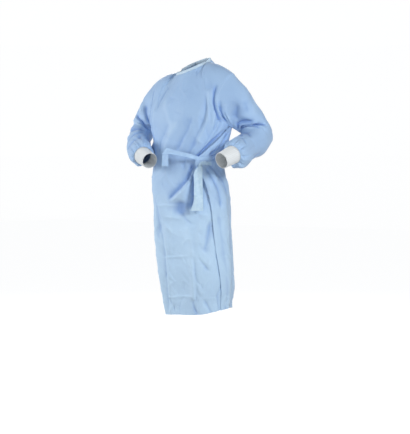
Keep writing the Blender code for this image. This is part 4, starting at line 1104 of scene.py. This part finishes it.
def back_right_lift(angles, rise):
    """How far creases and unevenness lift the wrap, kept off the panels below it."""
    height = cloth_height(angles, rise)
    fade = crease_fade(angles, rise, True)
    loose = smooth_step((1 - rise) / WRAP_CREASE_FADE)
    fade = np.where(angles < 180, np.maximum(fade, loose), fade)
    creases = sharp_relief(BACK_CREASES, angles, height) + sharp_relief(FLAP_CREASES, angles, height)
    creases = (creases + waves(angles * CLOTH_PER_DEGREE, height)) * fade
    room = np.where(angles < LIFT_START, FLAP_ROOM - flap_lift(angles, height), -1.0)
    lift = np.maximum(creases, np.minimum(room, 0))
    return lift, creases


def back_right_sheet(rises):
    """The right back panel with its wrap-round flap and its creases."""
    fixed = np.arange(UNDER_END, 270 + DEGREES_A_COLUMN / 2, DEGREES_A_COLUMN)
    share = np.linspace(0, 1, FLAP_STEPS, endpoint=False)
    edge = flap_edge_angles(rises)[:, None]
    angles = np.hstack([edge + share * (UNDER_END - edge), np.tile(fixed, (len(rises), 1))])
    side_seam_gap(angles, rises, -1, -1)
    rise = np.tile(rises[:, None], angles.shape[1])
    outer, normals = back_cloth(angles, rise, True)
    lift, creases = back_right_lift(angles, rise)
    outer = outer + lift[..., None] * normals
    normals = seam_normals(normals, angles, rises, RIGHT, -1, True)
    places = np.stack([angles * CLOTH_PER_DEGREE, cloth_height(angles, rise)], axis=-1)
    return Cloth(outer, normals, places, creases)


def sleeve_cloth(arm, turn, share):
    """Outer points and directions of a sleeve, with its folds and the gathers at the wrist."""
    normal = sleeve_normal(arm, turn, share)
    lift = np.zeros(np.broadcast(turn, share).shape)
    for lap in (-360, 0, 360):
        lift = lift + relief(arm.folds, turn + lap, share, SLEEVE_SCALE, -1)
    fade = smooth_step((GATHER_END - share) / (GATHER_END - SLEEVE_FOLD_END))
    lift = lift * smooth_step(share / SLEEVE_FOLD_START) * fade
    gather = smooth_step((share - GATHER_START) / (GATHER_FULL - GATHER_START))
    gather = gather * smooth_step((1 - share) / (1 - GATHER_END))
    lift = lift + GATHER_HEIGHT * gather * (1 + np.cos(np.radians(GATHERS * turn))) / 2
    return sleeve_point(arm, turn, share) + lift[..., None] * normal, normal, gather


def sleeve_sheet(arm, table):
    """A sleeve with its creases, from the armhole seam to its gathered wrist."""
    turns = np.arange(SLEEVE_TURNS) * 360 / SLEEVE_TURNS
    turn, share = np.meshgrid(turns, np.linspace(0, 1, SLEEVE_STEPS + 1))
    outer, normals, gather = sleeve_cloth(arm, turn, share)
    creases = np.zeros(turn.shape)
    for lap in (-360, 0, 360):
        creases = creases + sharp_relief(table, turn + lap, share, SLEEVE_SCALE, -1, SLEEVE_CREASE_GAIN)
    start, end = SLEEVE_CREASE_FADE
    fade = smooth_step(share / start) * smooth_step((1 - share) / (1 - end))
    across = np.radians(turn)
    rough = waves(np.cos(across) * SLEEVE_ROUND, share * SLEEVE_SCALE[1] + arm.side)
    creases = (creases + rough) * fade
    lift = creases.copy()
    for count, size, phase in PLEATS:
        lift = lift + size * gather * np.sin(count * across + phase)
    outer = outer + lift[..., None] * normals
    hole = turns > 180
    climb = (1 - np.where(hole, 360 - turns, turns) / 180) ** (1 / ARMHOLE_EVENNESS)
    normal = np.where(hole[:, None], armhole_normal(arm, climb, True), armhole_normal(arm, climb, False))
    first = sleeve_point(arm, turns, 0.0)
    ahead = sleeve_point(arm, turns, HOLE_SHARE) - first
    tangent = unit(sleeve_point(arm, turns + 1, 0.0) - sleeve_point(arm, turns - 1, 0.0))
    for direction in (normal, tangent):
        ahead = ahead - np.sum(ahead * direction, axis=1, keepdims=True) * direction
    outer[0] = first + SEAM * unit(ahead)
    normals[0] = normal
    places = np.stack([turn * SLEEVE_SCALE[0], share * SLEEVE_LENGTH], axis=-1)
    if arm.side < 0:
        outer, normals, places, creases = (grid[:, ::-1] for grid in (outer, normals, places, creases))
    return Cloth(outer, normals, places, creases)


def rib_profile(phase):
    """The height of a knit rib across, from 0 in the furrow to 1, with a rounded top."""
    return np.sqrt(np.clip(0.5 + 0.5 * np.cos(phase), 0, 1))


def cuff_sheet(arm):
    """A ribbed knit cuff that starts inside the gathered end of its sleeve."""
    centres, out, ahead, along = arm_frames(arm)
    wrist = centres[-1]
    end = np.array(arm.cuff_end)
    axis = unit(end - wrist)
    last_out = unit(out[-1] - (out[-1] @ axis) * axis)
    last_ahead = arm.side * np.cross(axis, last_out)
    start_radius = arm.sections[-1].outer - SOLID_WALL - WRIST_GAP - RIB_HEIGHT
    turns = np.arange(CUFF_TURNS) * 2 * math.pi / CUFF_TURNS
    knots = np.array([0, CUFF_TUCK + CUFF_OUT, CUFF_TUCK + np.linalg.norm(end - wrist) / 2,
                      CUFF_TUCK + np.linalg.norm(end - wrist)])
    rows = np.array([
        [*(wrist - CUFF_TUCK * along[-1]), *out[-1], *ahead[-1], start_radius],
        [*(wrist + CUFF_OUT * along[-1]), *out[-1], *ahead[-1], start_radius],
        [*((wrist + end) / 2), *last_out, *last_ahead, (start_radius + CUFF_END_RADIUS) / 2],
        [*end, *last_out, *last_ahead, CUFF_END_RADIUS],
    ])
    places = np.linspace(0, knots[-1], CUFF_STEPS + 1)
    rows = smooth_curve(places, knots, rows)[:, None, :]
    spoke = (np.cos(turns)[None, :, None] * unit(rows[..., 3:6])
             + np.sin(turns)[None, :, None] * unit(rows[..., 6:9]))
    rib = RIB_HEIGHT * rib_profile(CUFF_RIBS * turns)
    loops = KNIT_LOOP_HEIGHT * np.cos(2 * math.pi * places / KNIT_LOOP_LENGTH)[:, None]
    welt = CUFF_WELT * smooth_step((places - knots[-1] + CUFF_WELT_LENGTH) / CUFF_WELT_RISE)[:, None]
    radius = rows[..., 9] + rib[None, :] + loops + welt * (places < knots[-1])[:, None]
    outer = rows[..., :3] + spoke * radius[..., None]
    inner = rows[..., :3] + spoke * (rows[..., 9] - KNIT)[..., None]
    along_places = np.broadcast_to(places[:, None], outer.shape[:2])
    flat = np.stack([np.broadcast_to(turns * CUFF_END_RADIUS, outer.shape[:2]), along_places], axis=-1)
    rib = np.broadcast_to(rib / RIB_HEIGHT - 0.5, outer.shape[:2])
    if arm.side < 0:
        outer, inner, flat, rib = (grid[:, ::-1] for grid in (outer, inner, flat, rib))
    return outer, inner, flat, rib


def shell(name, outer, inner, places, creases, closed=False):
    """A thin closed wall between two grids, with its flat places as UV and its creases as an attribute."""
    rows, columns = outer.shape[:2]
    size = rows * columns
    spans = columns if closed else columns - 1
    row, column = np.meshgrid(np.arange(rows - 1), np.arange(spans), indexing="ij")
    row, column = row.ravel(), column.ravel()
    following = (column + 1) % columns
    quads = np.stack([row * columns + column, row * columns + following,
                      (row + 1) * columns + following, (row + 1) * columns + column], axis=1)
    faces = [quads, quads[:, ::-1] + size]
    line = np.arange(spans)
    after = (line + 1) % columns
    last = (rows - 1) * columns
    faces.append(np.stack([line + size, after + size, after, line], axis=1))
    faces.append(np.stack([last + line, last + after, last + after + size, last + line + size], axis=1))
    if not closed:
        side = np.arange(rows - 1) * columns
        up = side + columns
        faces.append(np.stack([side, up, up + size, side + size], axis=1))
        end = columns - 1
        faces.append(np.stack([side + end + size, up + end + size, up + end, side + end], axis=1))
    faces = np.concatenate(faces)
    points = np.concatenate([outer.reshape(-1, 3), inner.reshape(-1, 3)])
    mesh = bpy.data.meshes.new(name)
    mesh.from_pydata(points.tolist(), [], faces.tolist())
    mesh.shade_smooth()
    mesh.set_sharp_from_angle(angle=math.radians(SHARP_ANGLE))
    flat = np.concatenate([places.reshape(-1, 2)] * 2)
    corners = np.zeros(len(mesh.loops), dtype=np.int32)
    mesh.loops.foreach_get("vertex_index", corners)
    layer = mesh.uv_layers.new(name="cloth")
    layer.data.foreach_set("uv", flat[corners].astype(np.float32).ravel())
    attribute = mesh.attributes.new("crease", "FLOAT", "POINT")
    attribute.data.foreach_set("value", np.concatenate([creases.ravel()] * 2).astype(np.float32))
    piece = bpy.data.objects.new(name, mesh)
    bpy.context.scene.collection.objects.link(piece)
    return piece


def cloth_piece(name, cloth, closed=False):
    """A piece of gown cloth under its outer points."""
    inner = cloth.outer - CLOTH * cloth.normals
    return shell(name, cloth.outer, inner, cloth.places, cloth.creases, closed)


def run_along(line):
    """The length from a line's start to each of its points."""
    return np.concatenate([[0], np.cumsum(np.linalg.norm(np.diff(line, axis=0), axis=1))])


def line_at(place, run, line):
    """What a line holds at lengths along it."""
    return np.stack([np.interp(place, run, line[:, axis]) for axis in range(3)], axis=-1)


def strip_rows(first, middle, last, shares):
    """Rows of a strip between three lines of points or directions."""
    s = shares[:, None, None]
    return 2 * (s - 0.5) * (s - 1) * first - 4 * s * (s - 1) * middle + 2 * s * (s - 0.5) * last


def binding_sheet(front, back_left, back_right):
    """The folded tape that stands on the neck edge, from the wrap's corner round to the panel under it."""
    per_side = int(NECK_ANGLE / DEGREES_A_COLUMN)
    middle = int(90 / DEGREES_A_COLUMN)
    to_neck_corner = int((180 + NECK_ANGLE - UNDER_END) / DEGREES_A_COLUMN) + FLAP_STEPS
    base = np.concatenate([back_right.outer[-1, :to_neck_corner],
                           front.outer[-1, middle - per_side:middle + per_side + 1],
                           back_left.outer[-1, middle - per_side + 1:]])
    facing = np.concatenate([back_right.normals[-1, :to_neck_corner],
                             front.normals[-1, middle - per_side:middle + per_side + 1],
                             back_left.normals[-1, middle - per_side + 1:]])
    run = run_along(base)
    even = np.linspace(0, run[-1], BINDING_STEPS + 1)
    base = line_at(even, run, base)
    facing = line_at(even, run, facing)
    for _ in range(BINDING_SMOOTHING):
        facing[1:-1] = (facing[:-2] + 2 * facing[1:-1] + facing[2:]) / 4
    facing = unit(facing)
    tangent = unit(np.gradient(base, axis=0))
    upward = unit(np.cross(facing, tangent))
    stand = unit(upward + BINDING_UPRIGHT * np.array([0, 0, 1]))
    low = base + NECK_SEAM * upward
    shares = np.linspace(0, 1, BINDING_ROWS + 1)
    halfway = low + BINDING_HEIGHT / 2 * unit(upward + stand)
    outer = strip_rows(low, halfway, low + BINDING_HEIGHT * stand, shares)
    outward = unit(np.cross(tangent, stand))
    normals = unit(strip_rows(facing, unit(facing + outward), outward, shares))
    bulge = np.sin(math.pi * shares)[:, None]
    ripple = BINDING_RIPPLE * np.sin(even / BINDING_RIPPLE_LENGTH * 2 * math.pi)
    puff = BINDING_PUFF * bulge + ripple * bulge
    outer = outer + puff[..., None] * normals
    places = np.stack(np.broadcast_arrays(even[None, :], shares[:, None] * BINDING_HEIGHT), axis=-1)
    return Cloth(outer, normals, places, np.zeros_like(puff))


def flap_spot(share, height):
    """A point and direction on the wrap, a share of the way from its free edge to where it lies double."""
    rise = np.full(np.shape(share), 0.0) + (height - WRAP_HEM) / (UNDERARM - WRAP_HEM)
    for _ in range(EDGE_PASSES):
        edge = flap_angle(cloth_height(np.full(np.shape(share), UNDER_END), rise))
        angle = edge + share * (UNDER_END - edge)
        hem = hem_height(angle)
        rise = (height - hem) / (UNDERARM - hem)
    outer, normals = back_cloth(angle, rise, True)
    lift, _ = back_right_lift(angle, rise)
    return outer + lift[..., None] * normals, normals


def tie_root(columns, height):
    """Rows of a tie where it is sewn on the wrap."""
    shares = np.array(columns, dtype=float) / FLAP_COLUMNS
    low, _ = flap_spot(shares, height - TIE_HALF_WIDTH)
    high, _ = flap_spot(shares, height + TIE_HALF_WIDTH)
    _, out = flap_spot(shares, height)
    middle = (low + high) / 2 + (ON_CLOTH + TAPE) * out
    return np.hstack([middle, (high - low) / 2, out])


def tie_sheet(root, table, crumple):
    """A flat tie along its rows, with raised edges and a little crumpled."""
    rows = np.vstack([root, np.array(table, dtype=float)])
    run = run_along(rows[:, :3])
    even = np.linspace(0, run[-1], int(run[-1] / TIE_STEP) + 1)
    rows = smooth_curve(even, run, rows)
    middle, half, out = rows[:, :3], rows[:, 3:6], unit(rows[:, 6:9])
    across = np.linspace(-1, 1, TIE_COLUMNS)
    free = smooth_step((even - run[len(root) - 1]) / TIE_FREE_LENGTH)[:, None]
    ripple = np.sin(even[:, None] * TIE_CRUMPLE_TURNS + TIE_CRUMPLE_LEAN * across)
    twist = TIE_TWIST_SHARE * np.cos(TIE_TWIST_LEAN * across + even[:, None] * TIE_TWIST_TURNS)
    rough = ripple * (0.5 + 0.5 * across ** 2) + twist - TIE_CRUMPLE_SINK
    lift = TIE_EDGE * np.abs(across) ** TIE_EDGE_SHARPNESS + free * crumple * rough
    outer = middle[:, None] + across[:, None] * half[:, None] + lift[..., None] * out[:, None]
    normals = np.broadcast_to(out[:, None], outer.shape)
    width = np.linalg.norm(half, axis=1)[:, None] * across
    places = np.stack([width, np.broadcast_to(even[:, None], width.shape)], axis=-1)
    return Cloth(outer, normals, places, np.zeros_like(lift))


def tab_sheet(rises):
    """The plain closure tab at the back of the neck, laid on the wrap."""
    top = rises[-1]
    rise = np.linspace(top - (1 - TAB_LOW) / YOKE_ROWS, top - (1 - TAB_HIGH) / YOKE_ROWS, TAB_STEPS + 1)
    last = TAB_FIRST_COLUMN + TAB_COLUMNS - 1
    share = np.linspace(TAB_FIRST_COLUMN, last, 3 * TAB_STEPS + 1) / FLAP_COLUMNS
    edge = flap_edge_angles(rise)[:, None]
    angles = edge + share * (UNDER_END - edge)
    rise = np.tile(rise[:, None], angles.shape[1])
    outer, normals = back_cloth(angles, rise, True)
    lift, _ = back_right_lift(angles, rise)
    side = 1 - np.abs(np.linspace(-1, 1, angles.shape[1])) ** TAB_SQUARENESS
    end = 1 - np.abs(np.linspace(-1, 1, len(rise)))[:, None] ** TAB_SQUARENESS
    lift = lift + ON_CLOTH + TAPE + TAB_PUFF * side * end
    outer = outer + lift[..., None] * normals
    places = np.stack([angles * CLOTH_PER_DEGREE, cloth_height(angles, rise)], axis=-1)
    return Cloth(outer, normals, places, np.zeros_like(lift))


def tape_piece(name, cloth):
    """A piece of binding or tie under its outer points."""
    return shell(name, cloth.outer, cloth.outer - TAPE * cloth.normals, cloth.places, cloth.creases)


def stitches(name, lines):
    """Rows of short raised stitches along lines of points with outward directions."""
    points = []
    faces = []
    turns = np.arange(STITCH_SIDES) * 2 * math.pi / STITCH_SIDES
    for line, out in lines:
        run = run_along(line)
        centres = np.arange(STITCH_PITCH, run[-1] - STITCH_PITCH / 2, STITCH_PITCH)
        for centre in centres:
            ends = [line_at(centre + s * STITCH_LENGTH / 2, run, line) for s in (-1, 1)]
            facing = unit(line_at(centre, run, out))
            along = unit(ends[1] - ends[0])
            across = unit(np.cross(facing, along))
            middle = (ends[0] + ends[1]) / 2
            first = len(points)
            for share, swell in zip(STITCH_SHARES, STITCH_SWELL):
                for turn in turns:
                    aside = STITCH_HALF_WIDTH * swell * math.cos(turn) * across
                    rise = STITCH_HEIGHT * swell * math.sin(turn) * facing
                    points.append(middle + share * STITCH_LENGTH / 2 * along + aside + rise)
            for ring in range(len(STITCH_SHARES) - 1):
                low = first + ring * STITCH_SIDES
                for side in range(STITCH_SIDES):
                    after = (side + 1) % STITCH_SIDES
                    faces.append((low + side, low + STITCH_SIDES + side,
                                  low + STITCH_SIDES + after, low + after))
            faces.append(tuple(range(first, first + STITCH_SIDES)))
            top = first + (len(STITCH_SHARES) - 1) * STITCH_SIDES
            faces.append(tuple(reversed(range(top, top + STITCH_SIDES))))
    mesh = bpy.data.meshes.new(name)
    mesh.from_pydata([tuple(point) for point in points], [], faces)
    mesh.shade_smooth()
    piece = bpy.data.objects.new(name, mesh)
    bpy.context.scene.collection.objects.link(piece)
    return piece


class Nodes:
    """Short ways to add and join shader nodes in one material."""

    def __init__(self, name, roughness, sheen, sheen_roughness, specular):
        self.material = bpy.data.materials.new(name)
        self.material.use_nodes = True
        self.tree = self.material.node_tree
        self.shader = self.tree.nodes["Principled BSDF"]
        self.shader.inputs["Roughness"].default_value = roughness
        self.shader.inputs["Sheen Weight"].default_value = sheen
        self.shader.inputs["Sheen Roughness"].default_value = sheen_roughness
        self.shader.inputs["Specular IOR Level"].default_value = specular

    def add(self, kind, inputs=None, **settings):
        """A node with its settings and inputs; an input is a socket or a value."""
        node = self.tree.nodes.new(kind)
        for key, value in settings.items():
            setattr(node, key, value)
        for key, value in (inputs or {}).items():
            self.put(value, node.inputs[key])
        return node

    def put(self, value, socket):
        """Joins a socket to an input, or sets the input's value."""
        if isinstance(value, bpy.types.NodeSocket):
            self.tree.links.new(value, socket)
        else:
            socket.default_value = value

    def math(self, operation, *values):
        """A math node's result."""
        node = self.add("ShaderNodeMath", operation=operation)
        for index, value in enumerate(values):
            self.put(value, node.inputs[index])
        return node.outputs[0]

    def mix(self, share, first, second):
        """A colour between two."""
        node = self.add("ShaderNodeMix", data_type="RGBA")
        for socket, value in ((node.inputs[0], share), (node.inputs[6], first), (node.inputs[7], second)):
            if isinstance(value, tuple):
                value = (*value, 1.0)
            self.put(value, socket)
        return node.outputs[2]

    def span(self, value, low, high, new_low=0.0, new_high=1.0):
        """A value taken from one range to another."""
        node = self.add("ShaderNodeMapRange", {"Value": value, "From Min": low, "From Max": high,
                                               "To Min": new_low, "To Max": new_high})
        return node.outputs[0]

    def noise(self, vector, scale, detail=2.0, roughness=0.5):
        """Smooth noise, from 0 to 1."""
        node = self.add("ShaderNodeTexNoise", {"Vector": vector, "Scale": scale, "Detail": detail,
                                               "Roughness": roughness})
        return node.outputs["Fac"]

    def stretched(self, vector, scale):
        """A vector with each part multiplied."""
        node = self.add("ShaderNodeVectorMath", {0: vector, 1: scale}, operation="MULTIPLY")
        return node.outputs[0]

    def cloth_places(self):
        """The flat place on the cloth, and its two parts."""
        flat = self.add("ShaderNodeUVMap", uv_map="cloth").outputs[0]
        parts = self.add("ShaderNodeSeparateXYZ", {0: flat}).outputs
        return flat, parts[0], parts[1]

    def grid(self, across, along, pitch):
        """A pattern of rows of dots, from -1 to 1."""
        waves_across, waves_along = (
            self.math("SINE", self.math("MULTIPLY", part, 2 * math.pi / pitch)) for part in (across, along))
        return self.math("MULTIPLY", waves_across, waves_along)

    def crease(self):
        """How far the cloth is lifted by its creases, or how high a rib is."""
        return self.add("ShaderNodeAttribute", attribute_name="crease").outputs["Fac"]

    def finish(self, colour, normal):
        """The material with its colour and its bumps."""
        self.put(colour, self.shader.inputs["Base Color"])
        self.put(normal, self.shader.inputs["Normal"])
        return self.material

    def bump(self, height, distance, strength, normal=None):
        """A bump from a height."""
        node = self.add("ShaderNodeBump", {"Height": height, "Distance": distance, "Strength": strength})
        if normal is not None:
            self.put(normal, node.inputs["Normal"])
        return node.outputs[0]


def cloth_finish(name, main, pale, fibre_and_highlight, trough_shade):
    """Thin nonwoven cloth: rows of weld dots, loose fibres, faint clouds, paler towards the hem as painted
    light, pale ridges as crease whitening with a painted highlight, and painted shade in the troughs.
    """
    made = Nodes(name, *CLOTH_SHINE)
    places = made.add("ShaderNodeTexCoord").outputs["Object"]
    flat, across, along = made.cloth_places()
    clouds = made.noise(places, 7.0, 3.0, 0.55)
    fibres = made.noise(made.stretched(flat, FIBRES), 1.0, 3.0, 0.65)
    threads = made.noise(made.stretched(flat, THREADS), 1.0, 2.0, 0.6)
    dots = made.span(made.grid(across, along, WELD_PITCH), 0.35, 0.85)
    height = made.add("ShaderNodeSeparateXYZ", {0: places}).outputs[2]
    clouds = made.math("MULTIPLY", made.span(clouds, 0.3, 0.7), CLOUD_SHARE)
    # painted light: the cloth turns paler lower down, towards the hem
    painted_hem_light = made.span(height, HEM_LIGHT_FROM, HEM_LIGHT_TO, 0.0, HEM_LIGHT_SHARE)
    colour = made.mix(made.math("ADD", clouds, painted_hem_light), main, pale)
    fuzz = made.math("MULTIPLY", made.span(fibres, 0.35, 0.75), FIBRE_SHARE)
    colour = made.mix(fuzz, colour, fibre_and_highlight)
    crease = made.crease()
    # pale ridges: crease whitening with a painted highlight on the raised folds
    colour = made.mix(made.span(crease, *RIDGE_WHITENING_AND_HIGHLIGHT, 0.0, RIDGE_WHITENING_AND_HIGHLIGHT_SHARE), colour, fibre_and_highlight)
    # painted shade: troughs, the hollow along the wrap's edge among them, turn darker
    colour = made.mix(made.span(crease, *TROUGH_SHADE_SPAN, 0.0, TROUGH_SHADE_SHARE), colour, trough_shade)
    colour = made.mix(made.math("MULTIPLY", dots, DOT_SHARE), colour, main)
    first = made.bump(dots, -0.00006, 0.5)
    second = made.bump(made.math("ADD", fibres, threads), 0.00010, 0.35, first)
    crinkle = made.noise(made.stretched(flat, FINE_CRINKLES), 1.0, 4.0, 0.6)
    sharp_crinkle = made.math("ABSOLUTE", made.math("SUBTRACT", crinkle, 0.5))
    return made.finish(colour, made.bump(sharp_crinkle, 0.0060, 0.5, second))


def tape_finish(name, main, pale):
    """Folded tape of the same kind of cloth, with fine cross lines."""
    made = Nodes(name, *TAPE_SHINE)
    flat, across, along = made.cloth_places()
    weave = made.span(made.grid(across, along, TAPE_PITCH), -1.0, 1.0)
    clouds = made.noise(flat, 60.0, 3.0, 0.6)
    colour = made.mix(made.span(clouds, 0.3, 0.7), main, pale)
    colour = made.mix(made.math("MULTIPLY", weave, DOT_SHARE), colour, main)
    fine = made.bump(weave, 0.00010, 0.35)
    return made.finish(colour, made.bump(clouds, 0.0008, 0.3, fine))


def knit_finish(name):
    """Ribbed knit: painted shade in the furrows and between the rows of loops, small loops in rows, a soft
    fuzz.
    """
    made = Nodes(name, *KNIT_SHINE)
    flat, across, along = made.cloth_places()
    wale = 2 * math.pi / KNIT_WALE
    rows = 2 * math.pi / KNIT_LOOP_LENGTH
    lean = made.math("ABSOLUTE", made.math("SINE", made.math("MULTIPLY", across, wale)))
    slanted = made.math("ADD", made.math("MULTIPLY", along, rows), made.math("MULTIPLY", lean, KNIT_LEAN))
    loops = made.span(made.math("SINE", slanted), -1.0, 1.0)
    fuzz = made.noise(made.stretched(flat, KNIT_FUZZ), 1.0, 3.0, 0.7)
    # painted shade in the furrows between the ribs
    furrow = made.span(made.crease(), -0.5, 0.2, FURROW_SHADE_SHARE, 0.0)
    colour = made.mix(furrow, KNIT_PALE, KNIT_PAINTED_SHADE)
    # painted shade between the rows of loops
    colour = made.mix(made.span(loops, 0.0, 0.35, LOOP_SHADE_SHARE, 0.0), colour, KNIT_PAINTED_SHADE)
    first = made.bump(loops, 0.00035, 0.6)
    return made.finish(colour, made.bump(fuzz, 0.00012, 0.4, first))


def thread_finish(name, colour):
    """Twisted sewing thread."""
    made = Nodes(name, *THREAD_SHINE)
    places = made.add("ShaderNodeTexCoord").outputs["Object"]
    wave = made.add("ShaderNodeTexWave", {"Vector": places, "Scale": 900.0, "Distortion": 2.0})
    twist = wave.outputs["Fac"]
    tone = made.mix(made.math("MULTIPLY", twist, TWIST_SHARE), colour, TAPE_PALE)
    return made.finish(tone, made.bump(twist, 0.0001, 0.4))


def dress(piece, finish, slot, *nodes):
    """A finished piece that rides on the gown and stands for its solids."""
    piece.data.materials.append(finish)
    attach(piece, "root")
    if nodes:
        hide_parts(*nodes)
    return piece


def area_light(name, place, target, size, power):
    """A soft square light."""
    lamp = bpy.data.lights.new(name, "AREA")
    lamp.shape = "SQUARE"
    lamp.size = size
    lamp.energy = power
    holder = bpy.data.objects.new(name, lamp)
    holder.location = place
    holder.rotation_euler = (Vector(target) - Vector(place)).to_track_quat("-Z", "Y").to_euler()
    bpy.context.scene.collection.objects.link(holder)


def stage_paint(piece, colour, glow, roughness=0.5, specular=0.5):
    """Paints a part of the stage, pale by its own glow, which casts no light on the gown."""
    paint = bpy.data.materials.new(piece.name + "_paint")
    paint.use_nodes = True
    inputs = paint.node_tree.nodes["Principled BSDF"].inputs
    inputs["Base Color"].default_value = (*colour, 1)
    inputs["Roughness"].default_value = roughness
    inputs["Specular IOR Level"].default_value = specular
    inputs["Emission Color"].default_value = (*BACKDROP_COLOUR, 1)
    inputs["Emission Strength"].default_value = glow
    piece.data.materials.append(paint)
    piece.visible_diffuse = False


def stage_and_light():
    """A plain pale floor and soft studio light."""
    square = ((-1, -1), (1, -1), (1, 1), (-1, 1))
    corners = [(x * FLOOR_HALF, y * FLOOR_HALF, FLOOR_HEIGHT) for x, y in square]
    mesh = bpy.data.meshes.new("floor")
    mesh.from_pydata(corners, [], [(0, 1, 2, 3)])
    floor = bpy.data.objects.new("floor", mesh)
    bpy.context.scene.collection.objects.link(floor)
    stage_paint(floor, FLOOR_COLOUR, FLOOR_GLOW, 0.9, 0.0)
    bpy.ops.mesh.primitive_uv_sphere_add(segments=48, ring_count=24, radius=BACKDROP_RADIUS)
    backdrop = bpy.context.object
    backdrop.name = "backdrop"
    stage_paint(backdrop, (0, 0, 0), 1.0)
    backdrop.visible_glossy = False
    backdrop.visible_transmission = False
    backdrop.visible_shadow = False
    world = bpy.data.worlds.new("studio")
    world.use_nodes = True
    background = world.node_tree.nodes["Background"]
    background.inputs["Color"].default_value = WORLD_COLOUR
    background.inputs["Strength"].default_value = WORLD_STRENGTH
    bpy.context.scene.world = world
    bpy.context.scene.view_settings.view_transform = "Standard"
    for light in LIGHTS:
        area_light(*light)


def camera():
    """The photo's view of the gown."""
    turn = math.radians(VIEW_AZIMUTH)
    aside = Vector((math.cos(turn), math.sin(turn), 0))
    back = Vector((math.sin(turn), -math.cos(turn), 0))
    place = back * CAMERA_DISTANCE + aside * CAMERA_ASIDE
    data = bpy.data.cameras.new("view")
    data.sensor_width = SENSOR
    data.lens = FOCAL_PIXELS / FRAME_PIXELS * SENSOR
    holder = bpy.data.objects.new("view", data)
    holder.location = (place.x, place.y, CAMERA_HEIGHT)
    holder.rotation_euler = Euler((math.radians(90 - VIEW_DOWN), 0, turn))
    bpy.context.scene.collection.objects.link(holder)
    bpy.context.scene.camera = holder


def inside_line(cloth, index, column=False, first=0, last=None):
    """A row or column of a sheet as a line with directions."""
    if column:
        return cloth.outer[first:last, index], cloth.normals[first:last, index]
    return cloth.outer[index, first:last], cloth.normals[index, first:last]


def main():
    """Builds, finishes and lights everything."""
    gown = cloth_finish("gown_cloth_finish", GOWN_BLUE, GOWN_CLOUD_AND_HEM_LIGHT, GOWN_FIBRE_AND_HIGHLIGHT, GOWN_PAINTED_SHADE)
    trim = tape_finish("neck_binding_finish", TRIM_BLUE, TRIM_PALE)
    tape = tape_finish("tie_finish", TAPE_BLUE, TAPE_PALE)
    tail = tape_finish("waist_tie_finish", TAIL_BLUE, TAIL_PALE)
    knit = knit_finish("cuff_knit_finish")
    thread = thread_finish("thread_finish", THREAD_BLUE)
    rises = body_rows()
    front = panel_sheet(rises, -90, 90, False, FRONT_CREASES, ((RIGHT, 0), (LEFT, -1)))
    back_left = panel_sheet(rises, 90, UNDER_END, True, BACK_CREASES, ((LEFT, 0),))
    back_right = back_right_sheet(rises)
    sheets = {"front_panel": front, "back_panel_left": back_left, "back_panel_right": back_right}
    for name, cloth in sheets.items():
        dress(cloth_piece(name + "_cloth", cloth), gown, "gown_cloth", name)
    seams = [inside_line(front, column, True, 0, SKIRT_STEPS) for column in (1, -2)]
    for label, arm, table in (("left", LEFT, LEFT_CREASES), ("right", RIGHT, RIGHT_CREASES)):
        sleeve = sleeve_sheet(arm, table)
        dress(cloth_piece(f"sleeve_{label}_cloth", sleeve, True), gown, "gown_cloth",
                              f"sleeve_{label}")
        for row in (1, -2):
            seams.append([np.vstack([line, line[:1]]) for line in inside_line(sleeve, row)])
        outer, inner, places, rib = cuff_sheet(arm)
        piece = shell(f"cuff_{label}_knit", outer, inner, places, rib, True)
        dress(piece, knit, "cuff_knit", f"cuff_{label}")
    binding = binding_sheet(front, back_left, back_right)
    piece = tape_piece("neck_binding_tape", binding)
    dress(piece, trim, "neck_binding_cloth", "neck_binding")
    tab = tab_sheet(rises)
    dress(tape_piece("neck_tab_cloth", tab), trim, "neck_binding_cloth", "neck_tab")
    root = tie_root(FLAP_TIE_ROOT, TIE_HEIGHT)
    flap_tie = tie_sheet(root, FLAP_TIE, FLAP_TIE_CRUMPLE)
    dress(tape_piece("flap_tie_cloth", flap_tie), tape, "tie_cloth", "flap_tie")
    root = tie_root(WAIST_TIE_ROOT, TIE_HEIGHT - WAIST_TIE_DROP)
    waist_tie = tie_sheet(root, WAIST_TIE, WAIST_TIE_CRUMPLE)
    dress(tape_piece("waist_tie_cloth", waist_tie), tail, "tie_cloth", "waist_tie")
    seams.append(inside_line(binding, 2))
    seams += [inside_line(tab, index, column) for column in (False, True) for index in (1, -2)]
    dress(stitches("seam_stitches", seams), thread, "tie_cloth")
    camera()
    stage_and_light()


main()
bpy.context.view_layer.update()
